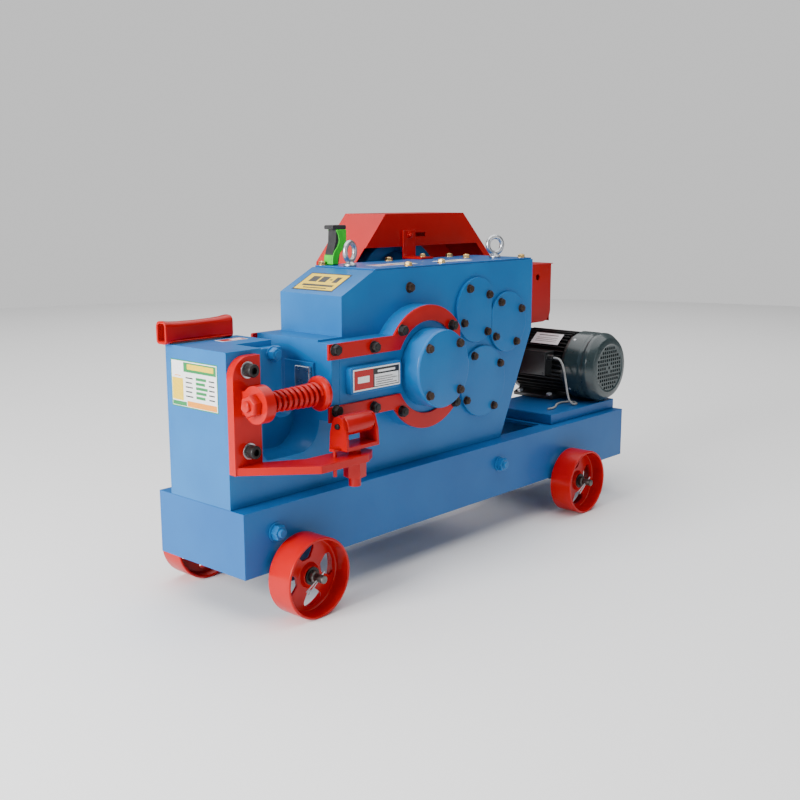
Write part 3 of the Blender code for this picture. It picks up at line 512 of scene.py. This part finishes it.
cover = slab(flange_outline(56.7, 114.7, 270.3, 666.7), 0, 11.7)
drum_hole = lathe([(0, -5), (70, -5), (70, 17), (0, 17)], spot(CRANK[0], 0, CRANK[1]), (0, 1, 0), 64)
show("ram_cover_plate", carve(cover, drum_hole), cast_blue, "machine", 1.5, 2, ["ram_cover"])
raised_box = slab(rounded([(290, 438, 7), (452, 438, 10), (452, 498, 10), (290, 498, 7)]), -14, 2)
show("ram_cover_box", raised_box, cast_blue, "machine", 2.5, 3, ())

cap = rounded([
    (0, 55, 0), (87.5, 55, 3), (90.5, 50, 5), (90.5, 1, 1), (68.5, 1, 0), (68.5, -14, 1), (45, -14, 1),
    (45, 34, 1), (0, 34, 0)], 5)
drum = lathe(cap, spot(CRANK[0], -0.3, CRANK[1]), (0, -1, 0), 128)
show("crank_cap_drum", drum, cast_blue, "machine", 0, 2, ["crank_cap"])

# ---------------------------------------------------------------- shaft covers
# Three round cast covers close the bores of the geared shafts. The two upper ones are cut off where
# they meet each other. Each is held by four bolts.

SHAFTS = {"upper": ((783, 580), 80), "outer": ((910.3, 540), 77), "lower": ((809.4, 398.1), 90)}
SPLIT_X = 841

for name, ((x, z), radius) in SHAFTS.items():
    node = f"{name}_shaft_cover"
    disc = bmesh.new()
    add_round(disc, spot(x, 39.7, z), (0, -1, 0), radius, 7.7, sides=112)
    if name != "lower":
        keep = 1 if name == "outer" else -1
        bmesh.ops.bisect_plane(
            disc, geom=disc.verts[:] + disc.edges[:] + disc.faces[:],
            plane_co=spot(SPLIT_X + keep * 0.4, 0, 0), plane_no=(keep, 0, 0), clear_inner=True)
        bmesh.ops.holes_fill(disc, edges=disc.edges)
    show(f"{node}_disc", disc, cast_blue, "machine", 1.6, 3, [node])

# ---------------------------------------------------------------- cover bolts
# Black flange bolts hold the red plate and brown-black ones the covers. Their heads stand at different
# angles, as a spanner leaves them. The top cover's bolts are yellow zinc.

brown_steel = surface(
    "brown_black_oxide", (0.030, 0.017, 0.012), (0.070, 0.042, 0.028), 90, 0.40, metallic=0.6, peel=0.2)
yellow_zinc = surface("yellow_zinc", (0.62, 0.36, 0.10), (0.80, 0.60, 0.28), 80, 0.30, metallic=1.0, peel=0.2)

FRONT, UP = (0, -1, 0), (0, 0, 1)
COLLAR_HEIGHT, TURN_A_BOLT = 1.8, 1.9
# Width across the flats: the head's height and its collar's radius.
BOLT_HEADS = {10: (5, 9), 13: (6, 9), 16: (7, 11), 17: (8, 11), 19: (9, 13), 21: (11, 13.5), 26: (15, 17)}
FLANGE_FACE, CAP_FACE, COVER_FACE, TOP_FACE = -6, -55.3, 32, 698


def bolts(name, places, axis, across_flats, finish):
    """A set of like bolts as one piece, each head turned a little further than the one before."""
    height, collar = BOLT_HEADS[across_flats]
    shape = bmesh.new()
    for number, place in enumerate(places):
        base = spot(*place)
        add_round(shape, base, axis, collar, COLLAR_HEIGHT, collar - 0.6)
        base = base + Vector(axis) * COLLAR_HEIGHT * MM
        add_hexagon(shape, base, axis, across_flats, height, number * TURN_A_BOLT)
        crown = base + Vector(axis) * height * 0.6 * MM
        add_round(shape, crown, axis, across_flats * 0.3, height * 0.55, sides=24)
    return show(name, shape, finish, "machine", 0.5, 2, (), 40)


bolts("flange_bolts", [(x, FLANGE_FACE, z) for x, z in (
    (252, 540), (370, 534), (461, 562), (636, 558), (253, 410), (369, 401), (461, 378), (648, 374))],
    FRONT, 21, black_steel)
bolts("crank_cap_bolts", [(CRANK[0] + a, CAP_FACE, CRANK[1] + b) for a, b in (
    (-55, 52), (52, 55), (54, -54), (-54, -55))], FRONT, 17, brown_steel)
for name, places in (
    ("upper_cover_bolts", ((749, 634), (827, 615), (821, 523), (728, 551))),
    ("outer_cover_bolts", ((877, 592), (964, 570), (944, 486), (856, 506))),
    ("lower_cover_bolts", ((769, 466), (876, 437), (851, 330), (740, 358))),
):
    bolts(name, [(x, COVER_FACE, z) for x, z in places], FRONT, 17, brown_steel)
bolts("oil_plug", [(538, 40, 650)], FRONT, 19, brown_steel)
bolts("top_cover_bolts", [(x, y, TOP_FACE) for x, y in (
    (440, 225), (665, 222), (905, 226), (552, 56), (690, 72), (898, 162), (1000, 60))],
    UP, 16, yellow_zinc)

# ---------------------------------------------------------------- lifting eyes
# Two forged and zinc-plated eye bolts, screwed down on the top cover: a thick ring that flows into
# a turned collar.

RING_RADIUS, RING_WIRE_RADIUS = 21, 6

for name, turn in (("left", 14), ("right", -22)):
    node = f"{name}_lifting_eye"
    low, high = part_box(node)
    ring_top = RING_RADIUS + RING_WIRE_RADIUS
    centre = Vector(((low.x + high.x) / 2, (low.y + high.y) / 2, high.z - ring_top * MM))
    ring_axis = Vector((-math.sin(math.radians(turn)), math.cos(math.radians(turn)), 0))
    across = ring_axis.cross(Vector((0, 0, 1)))
    shape = bmesh.new()
    section = arc((RING_RADIUS, 0), RING_WIRE_RADIUS, 0, 360, 20)[:-1]
    points = [shape.verts.new(centre + (across * out + ring_axis * aside) * MM) for out, aside in section]
    edges = [shape.edges.new(pair) for pair in zip(points, points[1:] + points[:1])]
    bmesh.ops.spin(
        shape, geom=points + edges, cent=centre, axis=ring_axis, dvec=(0, 0, 0), angle=math.tau, steps=64,
        use_merge=True, use_duplicate=False)
    bmesh.ops.recalc_face_normals(shape, faces=shape.faces)
    show(f"{node}_ring", shape, zinc, "machine", 0, 2, [node])
    collar = lathe(rounded([(0, 0, 0), (15, 0, 1.5), (15, 5, 2), (9, 8.5, 5), (6.5, 14, 0), (0, 14, 0)], 5),
                   Vector((centre.x, centre.y, low.z)), (0, 0, 1), 64)
    show(f"{node}_collar", collar, zinc, "machine")

# ---------------------------------------------------------------- ram and blades
# The ram is a steel block that carries a hardened blade with ground faces. The fixed blade is bolted
# to the anvil's shoulder, and it was sprayed over with the machine, as the ram's nose was.

ground_steel = surface(
    "ground_steel", (0.38, 0.39, 0.41), (0.56, 0.57, 0.59), 40, 0.28, metallic=1.0, peel=0.25, peel_scale=900)
softened("moving_blade", ground_steel, 1.2, 2)
for node in ("ram", "fixed_blade"):
    softened(node, cast_blue, 1.5, 2)
bolts("fixed_blade_bolt", [(170, 98.3, 530)], FRONT, 26, cast_blue)

# ---------------------------------------------------------------- gear train and crank
# Inside the housing: cut steel gears on ground shafts, a forged crank in bronze bushes, and the
# connecting rod. They are oiled bare metal.


def dress(finish, *names):
    """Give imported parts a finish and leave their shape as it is."""
    for name in names:
        mesh = frame["nodes"][name].data
        mesh.materials.clear()
        mesh.materials.append(finish)


bronze = surface("turned_bronze", (0.42, 0.24, 0.08), (0.58, 0.36, 0.14), 60, 0.35, metallic=1.0, peel=0.2)
dress(ground_steel, "bull_gear", "third_gear", "second_gear", "third_shaft", "second_shaft", "input_shaft",
      "crankshaft", "connecting_rod", "ram_pin", "motor_rotor")
dress(bronze, "front_crank_bush", "rear_crank_bush")
dress(black_steel, "front_input_bearing", "rear_input_bearing")

# ---------------------------------------------------------------- bracket
# A thick flame-cut plate on two socket screws, with a welded boss for the press rod and an arm that
# carries the roller. The corners of the cut plate are only lightly ground.

softened("clamp_bracket", red_paint, 1.8, 3)

for name, z in (("upper", 521), ("lower", 357)):
    washer = lathe([(9.5, -0.2), (17, -0.2), (17, 2.4), (9.5, 2.4)], spot(37, 20, z), FRONT, 48)
    show(f"{name}_bracket_washer", washer, zinc, "machine", 0.5)
    head = rounded([(0, 13, 0), (6.5, 13, 0), (7, 22, 0.5), (12.5, 22, 1.5), (13.5, 20, 1), (13.5, 2.6, 0.5),
                    (9, 2.6, 0), (9, -19.5, 0), (0, -19.5, 0)], 3)
    screw = lathe(head, spot(37, 20, z), FRONT, 48)
    show(f"{name}_bracket_screw", screw, black_steel, "machine", 0, 2, [f"{name}_bracket_bolt"])

# ---------------------------------------------------------------- press
# A painted rod slides through the boss and ends in a heavy disc that leans on the bar. A coil spring
# between boss and disc presses it, and a hexagon nut outside the boss sets its travel.

PRESS_Y, PRESS_Z = -18, 457
press_axis = spot(0, PRESS_Y, PRESS_Z)
rod_profile = rounded([(0, -4, 0), (11, -4, 1.5), (11, 200, 1.5), (0, 200, 0)], 3)
rod = lathe(rod_profile, press_axis, (1, 0, 0), 48)
show("press_rod_bar", rod, red_paint, "press", 0, 2, ["press_rod"])
nut = bmesh.new()
add_hexagon(nut, press_axis + Vector((20.6 * MM, 0, 0)), (-1, 0, 0), 41, 18, 0.35)
show("press_nut_hexagon", nut, red_paint, "press", 1, 2, ["press_nut"])
disc_profile = rounded([
    (11.3, 185, 0), (30, 185, 1), (36.5, 190, 1), (36.5, 197, 1), (31, 201, 1), (11.3, 201, 0)], 3)
disc = lathe(disc_profile, press_axis, (1, 0, 0))
show("press_disc_round", disc, red_paint, "press", 0, 2, ["press_disc"])

SPRING_TURNS, STEPS_A_TURN, SPRING_WIRE_RADIUS = 9.5, 28, 4.3
SPRING_START, SPRING_LENGTH = 49.5, 133
COIL_RADIUS, COIL_WIDENING = 16.6, 4.4
steps = int(SPRING_TURNS * STEPS_A_TURN)
coil = []
for number in range(steps + 1):
    share = number / steps
    turn = math.tau * SPRING_TURNS * share
    radius = COIL_RADIUS + COIL_WIDENING * share
    coil.append(spot(
        SPRING_START + SPRING_LENGTH * share, PRESS_Y + radius * math.cos(turn),
        PRESS_Z + radius * math.sin(turn)))
coil_holder = placed("press_spring_curve", wire("press_spring_coil", coil, SPRING_WIRE_RADIUS))
coil_mesh = bpy.data.meshes.new_from_object(coil_holder.evaluated_get(bpy.context.evaluated_depsgraph_get()))
bpy.data.objects.remove(coil_holder)
shape = bmesh.new()
shape.from_mesh(coil_mesh)
bmesh.ops.remove_doubles(shape, verts=shape.verts, dist=0.000001)
spring = show("press_spring_coil", shape, red_paint, "machine", 0, 2, ["press_spring"], 50)
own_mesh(spring)

# ---------------------------------------------------------------- roller rest
# A folded fork with round-topped ears carries a steel roller on a pin. Its post stands in the arm's
# hexagon boss, and a thin guide pin keeps it from turning.

softened("roller_fork", red_paint, 1.5, 3)
FORK = (257, -56, 390)
roller_profile = rounded([(6.3, -39.5, 0), (22, -39.5, 2), (22, 39.5, 2), (6.3, 39.5, 0)], 4)
roller_pin = rounded([(0, -53, 0), (6, -53, 1), (6, 53, 1), (0, 53, 0)], 3)
roller = lathe(roller_profile, spot(*FORK), (1, 0, 0))
show("roller_tube", roller, red_paint, "roller", 0, 2, ["roller"])
pin = lathe(roller_pin, spot(*FORK), (1, 0, 0), 32)
show("roller_pin_bar", pin, black_steel, "fork", 0, 2, ["roller_pin"])

# ---------------------------------------------------------------- towing handle
# A red sleeve of pressed steel, welded along the back of the block. It is waisted in the middle, its
# flared ends are hollow, and a thin lip runs along its lower edge.

handle_low, handle_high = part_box("handle")
handle_middle = (handle_low + handle_high) / 2
handle_centre = (handle_middle - corner) / MM
HALF_THICK, HALF_TALL, HOLLOW_DEPTH = 17, 24, 22
near, far = handle_centre.y - HALF_THICK, handle_centre.y + HALF_THICK
bottom, top = handle_centre.z - HALF_TALL, handle_centre.z + HALF_TALL
sleeve_outline = rounded([(near, bottom, 9), (far, bottom, 9), (far, top, 12), (near, top, 12)], 6)
sleeve = slab(sleeve_outline, -15, 160, "X")
# The sleeve's width at places along it, as a share of its full width.
waist = (
    (-12, 1), (-4, 0.97), (8, 0.9), (30, 0.85), (72, 0.82), (115, 0.85), (137, 0.9), (149, 0.97), (157, 1))
for x, _ in waist:
    bmesh.ops.bisect_plane(
        sleeve, geom=sleeve.verts[:] + sleeve.edges[:] + sleeve.faces[:], plane_co=spot(x, 0, 0),
        plane_no=(1, 0, 0))
for x, share in waist:
    section = [v for v in sleeve.verts if abs(v.co.x - spot(x, 0, 0).x) < 0.2 * MM]
    bmesh.ops.scale(sleeve, vec=(1, share, share), space=Matrix.Translation(-handle_middle), verts=section)
ends = [face for face in sleeve.faces if abs(face.normal.x) > 0.9]
bmesh.ops.inset_region(sleeve, faces=ends, thickness=5.5 * MM)
for face in ends:
    direction = 1 if face.calc_center_median().x < handle_middle.x else -1
    hollow = bmesh.ops.extrude_face_region(sleeve, geom=[face])
    inner = [v for v in hollow["geom"] if isinstance(v, bmesh.types.BMVert)]
    bmesh.ops.translate(sleeve, verts=inner, vec=(direction * HOLLOW_DEPTH * MM, 0, 0))
bmesh.ops.delete(sleeve, geom=[face for face in ends if face.is_valid], context="FACES")
bmesh.ops.recalc_face_normals(sleeve, faces=sleeve.faces)
show("handle_sleeve", sleeve, red_paint, "machine", 1.5, 3, ["handle"], 50)
lip = bmesh.new()
lip_centre = Vector((handle_middle.x, handle_middle.y, handle_low.z + 5 * MM))
lip_length = handle_high.x - handle_low.x - 6 * MM
bmesh.ops.create_cube(lip, size=1, matrix=Matrix.Translation(lip_centre) @ Matrix.Diagonal(
    (lip_length, 2 * HALF_THICK * MM, 3.5 * MM, 1)))
show("handle_lip", lip, red_paint, "machine", 1.5, 3)

# ---------------------------------------------------------------- upright grip
# A black moulded grip with a bright green band that sweeps down its side in an S, and a flat black
# cap. It stands behind the left lifting eye.

green_rubber = surface(
    "green_rubber", (0.010, 0.480, 0.008), (0.020, 0.600, 0.014), 30, 0.42, peel=0.4, peel_scale=900)
black_rubber = surface("black_rubber", (0.012, 0.012, 0.013), (0.026, 0.026, 0.027), 50, 0.55, peel=0.4)
softened("hand_grip", black_rubber, 1.5, 3)
band = slab(rounded([
    (460, 780, 2), (494, 780, 2), (494, 752, 10), (486, 736, 10), (474, 726, 10), (467, 712, 10),
    (466, 699.5, 2), (447.5, 699.5, 2), (448, 716, 12), (454, 730, 12), (464, 741, 10), (470, 752, 10),
    (468, 766, 10)], 4), 198, 228)
show("hand_grip_band", band, green_rubber, "machine", 2, 3, ())
cap = slab(rounded([(449, 780.5, 3), (494, 780.5, 3), (494, 790, 4), (449, 790, 4)], 4), 198.5, 227.5)
show("hand_grip_cap", cap, black_rubber, "machine", 1.5, 3, ())

# ---------------------------------------------------------------- belt guard
# Folded and spot-welded sheet, painted red, over the flywheel and the belts, with a lip along the top
# of its motor end. A flat-bar stay ties it to the top cover, and a screw passes through its slot.

softened("belt_guard", red_paint, 1.0, 2)
softened("guard_stay", red_paint, 1.2, 2)
lip = slab([(1380, 653.6), (1448, 653.6), (1448, 655.6), (1380, 655.6)], 261.6, 405.4)
show("guard_lip", lip, red_paint, "machine", 0.6, 2, ())
bolts("guard_screw", [(782, 256.6, 758)], FRONT, 10, red_paint)
bolts("stay_foot_bolt", [(782, 212, 703.4)], UP, 13, yellow_zinc)

# ---------------------------------------------------------------- flywheel, pulley and belt
# A turned cast-iron flywheel with a heavy rim and a machined web, two V-grooves, and the black twin
# belt that runs down to the small pulley on the motor.

INPUT = SHAFTS["upper"][0]
MOTOR = (1382, 365)
BELT_YS = (354, 374)
HUB_BACK = 388


def grooves(rim, bottom):
    """The outer side of a grooved pulley, from its front edge to its back edge."""
    side = []
    for middle in BELT_YS:
        side += [(rim, middle - 6.5), (bottom, middle - 5.9), (bottom, middle + 5.9), (rim, middle + 6.5)]
    return [*side, (rim, HUB_BACK)]


flywheel_profile = rounded([
    (20.3, 300, 0), (42, 300, 2), (42, 330, 5), (138, 330, 5), (138, 292, 2), (170, 292, 2.5),
    (170, 340, 2)], 4)
flywheel_profile += [
    (164.5, 340), *grooves(164.5, 155), (138, HUB_BACK), (138, 352), (42, 352), (42, 386), (20.3, 386)]
flywheel = lathe(flywheel_profile, spot(INPUT[0], 0, INPUT[1]), (0, 1, 0), 128)
show("flywheel_turned", flywheel, cast_blue, "input_drive", 0, 2, ["flywheel"])
pulley_profile = [(14.3, 338), (44, 338), *grooves(44, 34), (14.3, HUB_BACK)]
pulley = lathe(pulley_profile, spot(MOTOR[0], 0, MOTOR[1]), (0, 1, 0), 64)
show("motor_pulley_turned", pulley, black_steel, "motor_drive", 0, 2, ["motor_pulley"])
softened("v_belt", black_rubber, 0.8, 2)

# ---------------------------------------------------------------- motor
# A foot-mounted induction motor: a ribbed iron frame between two end shields, sprayed satin black,
# with a terminal box on its side, an aluminium plate on its shoulder and feet bolted to the rail.

motor_black = surface(
    "satin_black", (0.010, 0.011, 0.012), (0.022, 0.024, 0.025), 20, 0.34, peel=0.3, coat=0.2)
motor_centre = spot(MOTOR[0], 0, MOTOR[1])
barrel = lathe(rounded([
    (15, 332, 0), (40, 332, 3), (44, 320, 6), (84, 312, 8), (93, 304, 3), (93, 290, 2), (86, 288, 1),
    (86, 122, 1), (93, 120, 2), (93, 106, 3), (86, 100, 4), (15, 100, 0), (15, 112, 0), (60, 112, 0),
    (60, 300, 0), (15, 300, 0)], 4), motor_centre, (0, 1, 0))
show("motor_frame_barrel", barrel, motor_black, "machine", 0, 2, ["motor_frame"])
FINS = 44
fins = bmesh.new()
for number in range(FINS):
    turn = math.tau * (number + 0.5) / FINS
    stand = Matrix.Translation(motor_centre) @ Matrix.Rotation(-turn, 4, "Y") @ Matrix.Translation(
        Vector((90, 205, 0)) * MM)
    if not math.radians(235) < turn < math.radians(305):
        bmesh.ops.create_cube(fins, size=1, matrix=stand @ Matrix.Diagonal((14 * MM, 166 * MM, 2.4 * MM, 1)))
show("motor_frame_fins", fins, motor_black, "machine", 0.8, 2)
right_foot = [(88, 265.3, 0), (88, 276, 3), (62, 284, 8), (48, 302, 6)]
left_foot = [(-a, z, radius) for a, z, radius in right_foot[::-1]]
feet = slab(rounded([(MOTOR[0] + a, z, radius) for a, z, radius in right_foot + left_foot]), 150, 290)
show("motor_feet", feet, motor_black, "machine", 1.5, 2)
bolts("motor_foot_bolts", [(MOTOR[0] + a, y, 276) for a in (-77, 77) for y in (168, 272)],
      UP, 16, zinc)

# ---------------------------------------------------------------- fan and fan cover
# A moulded fan on the front end of the rotor, behind a pressed steel cover in dark grey-green. The
# cover has a rolled bead, a broad chamfer and a grid of punched holes in its face.

cover_paint = surface(
    "grey_green_enamel", (0.016, 0.032, 0.036), (0.024, 0.044, 0.048), 12, 0.28, peel=0.2, coat=0.3)
softened("motor_fan", black_rubber, 0.8, 2)
fan_cover = lathe(rounded([
    (100, 106, 0), (100, 62, 2), (98.6, 56, 2), (98.6, 50, 2), (100, 44, 2), (100, 34, 10), (86, 14, 8),
    (70, 12, 3), (66, 14, 2), (0, 14, 0), (0, 16, 0), (68, 16, 0), (84, 17, 4), (97, 36, 6),
    (98, 106, 0)], 4), motor_centre, (0, 1, 0), 128)
HOLE_PITCH, HOLE_WIDTH, GRID_RADIUS, CENTRE_RADIUS = 11.4, 7.6, 62, 24
hole = Matrix.Diagonal((HOLE_WIDTH * MM, 8 * MM, HOLE_WIDTH * MM, 1))
holes = bmesh.new()
for row in range(-5, 6):
    for column in range(-5, 6):
        across, up = column * HOLE_PITCH, row * HOLE_PITCH
        reach = math.hypot(across, up)
        if reach < GRID_RADIUS and not (reach < CENTRE_RADIUS and (row + column) % 2):
            place = motor_centre + Vector((across, 15, up)) * MM
            bmesh.ops.create_cube(holes, size=1, matrix=Matrix.Translation(place) @ hole)
fan_cover = carve(fan_cover, holes)
show("fan_cover_pressed", fan_cover, cover_paint, "machine", 0, 2, ["fan_cover"])
screws = bmesh.new()
for turn in (0.6, 2.2, 3.8, 5.4):
    outward = Vector((math.cos(turn), 0, math.sin(turn)))
    add_round(screws, motor_centre + outward * 99 * MM + Vector((0, 96 * MM, 0)), outward, 5, 2.2, 3.6, 24)
show("fan_cover_screws", screws, zinc, "machine", 0.4)

# ---------------------------------------------------------------- terminal box
# A cast box bolted to the motor's side, with a gasketed lid and the gland that the lead comes from.

softened("terminal_box", motor_black, 2, 3)
lid = bmesh.new()
bmesh.ops.create_cube(lid, size=1, matrix=Matrix.Translation(spot(1247.8, 190, 379)) @ Matrix.Diagonal(
    (4.5 * MM, 88 * MM, 70 * MM, 1)))
for y in (153, 227):
    for z in (350, 408):
        add_round(lid, spot(1245.6, y, z), (-1, 0, 0), 3.6, 2.4, 2.8, 20)
show("terminal_box_lid", lid, motor_black, "machine", 1.2, 3)

# ---------------------------------------------------------------- plates and stickers
# Printed films and an aluminium rating plate, all with plain blocks and lines in place of print:
# on the end of the block, the hood's slope, the raised box, the top cover and the motor.


def film(name, colour, roughness=0.35, metallic=0.0):
    """A printed film: one ink, with the faint mottle of a print over the roller's grain."""
    lighter = tuple(min(1, channel * 1.12 + 0.01) for channel in colour)
    return surface(name, colour, lighter, 240, roughness, metallic, peel=0.15, peel_scale=1200)


white_film = film("white_film", (0.80, 0.81, 0.80))
green_film = film("green_film", (0.0005, 0.200, 0.045))
yellow_film = film("yellow_film", (0.780, 0.520, 0.0001))
orange_film = film("orange_film", (0.780, 0.260, 0.001))
black_film = film("black_film", (0.014, 0.014, 0.014))
red_film = film("red_film", (0.400, 0.0002, 0.0006))
aluminium = film("brushed_aluminium", (0.72, 0.72, 0.74), 0.4, 0.35)
FILM_THICKNESS, FILM_STEP = 0.5, 0.05
LINE_PITCH = 9.5


def sticker(name, origin, right, up, patches):
    """Lay printed patches (left, low, right, high, finish) on a face, each a little over the last."""
    shape = bmesh.new()
    finishes = []
    out = Vector(right).cross(Vector(up)).normalized()
    basis = Matrix((Vector(right).normalized(), Vector(up).normalized(), out)).transposed().to_4x4()
    for number, (left, low, far, high, finish) in enumerate(patches):
        if finish not in finishes:
            finishes.append(finish)
        thick = FILM_THICKNESS + FILM_STEP * min(number, 3)
        centre = origin + basis.to_3x3() @ Vector(((left + far) / 2, (low + high) / 2, thick / 2)) * MM
        patch = Matrix.Diagonal(((far - left) * MM, (high - low) * MM, thick * MM, 1))
        made = bmesh.ops.create_cube(shape, size=1, matrix=Matrix.Translation(centre) @ basis @ patch)
        for face in {face for vert in made["verts"] for face in vert.link_faces}:
            face.material_index = finishes.index(finish)
    return show(name, shape, finishes, "machine", 0.12, 1)


end_plate = [(0, 0, 152, 98, green_film), (2, 2, 150, 96, white_film)]
end_plate += [(42, 74, 148, 94, green_film), (54, 80, 140, 91, yellow_film), (3, 14, 40, 60, yellow_film)]
end_plate += [(3, 3, 50, 12, green_film), (52, 3, 148, 15, orange_film), (12, 64, 32, 66, orange_film)]
for low, thick, left, rights, ink in (
    (22, 6, 82, (112, 116, 120, 112, 116), green_film),
    (23, 3, 48, (72, 69, 72, 69, 72), black_film),
    (23, 3, 124, (142, 142, 142, 142, 142), black_film),
):
    for row, right in enumerate(rights):
        line_low = low + LINE_PITCH * row
        end_plate.append((left, line_low, right, line_low + thick, ink))
sticker("end_table", spot(0, 219, 431), (0, -1, 0), (0, 0, 1), end_plate)
slope = Vector((100, 0, 50)).normalized()
hood_plate = [(0, 0, 130, 74, black_film), (4, 4, 126, 70, yellow_film), (20, 36, 46, 60, black_film),
              (52, 36, 76, 60, black_film), (82, 45, 90, 50, black_film), (96, 36, 112, 60, black_film),
              (16, 18, 114, 26, black_film), (28, 9, 102, 13, black_film)]
sticker("hood_plate", spot(331, 213, 650.5), (0, -1, 0), slope, hood_plate)
box_plate = [(0, 0, 148, 48, white_film), (3, 3, 145, 45, black_film), (3, 3, 62, 45, red_film),
             (14, 17, 50, 31, white_film), (66, 5, 143, 31, white_film), (76, 35, 132, 40, white_film)]
box_plate += [(70, 8 + 5 * row, 138 - 14 * (row % 2), 10 + 5 * row, black_film) for row in range(4)]
sticker("box_plate", spot(297, -14, 444), (1, 0, 0), (0, 0, 1), box_plate)
block_plate = [(0, 0, 66, 30, white_film), (2, 2, 64, 28, red_film), (30, 8, 58, 22, white_film)]
sticker("block_plate", spot(98, 168, 557), (1, 0, 0), (0, 1, 0), block_plate)
top_plate = [(0, 0, 130, 46, white_film), (3, 3, 64, 43, red_film), (14, 14, 52, 32, white_film),
             (72, 10, 120, 14, black_film), (72, 20, 112, 24, black_film), (72, 30, 120, 34, black_film)]
sticker("top_plate", spot(500, 96, TOP_FACE), (1, 0, 0), (0, 1, 0), top_plate)
notice = [(0, 0, 110, 40, white_film), (8, 8, 60, 12, black_film), (8, 18, 96, 22, black_film),
          (8, 28, 80, 32, black_film)]
sticker("top_notice", spot(716, 84, TOP_FACE), (1, 0, 0), (0, 1, 0), notice)
slant = math.radians(38)
shoulder = Vector((-math.sin(slant), 0, math.cos(slant)))
tangent = Vector((-math.cos(slant), 0, -math.sin(slant)))
rating_plate = [(0, 0, 96, 44, aluminium), (14, 34, 82, 37, black_film), (12, 24, 84, 25.5, black_film),
                (12, 17, 84, 18.5, black_film), (12, 10, 84, 11.5, black_film)]
plate_corner = motor_centre + shoulder * 97 * MM + Vector((0, 240 * MM, 0)) + tangent * 22 * MM
sticker("motor_rating_plate", plate_corner, (0, -1, 0), -tangent, rating_plate)
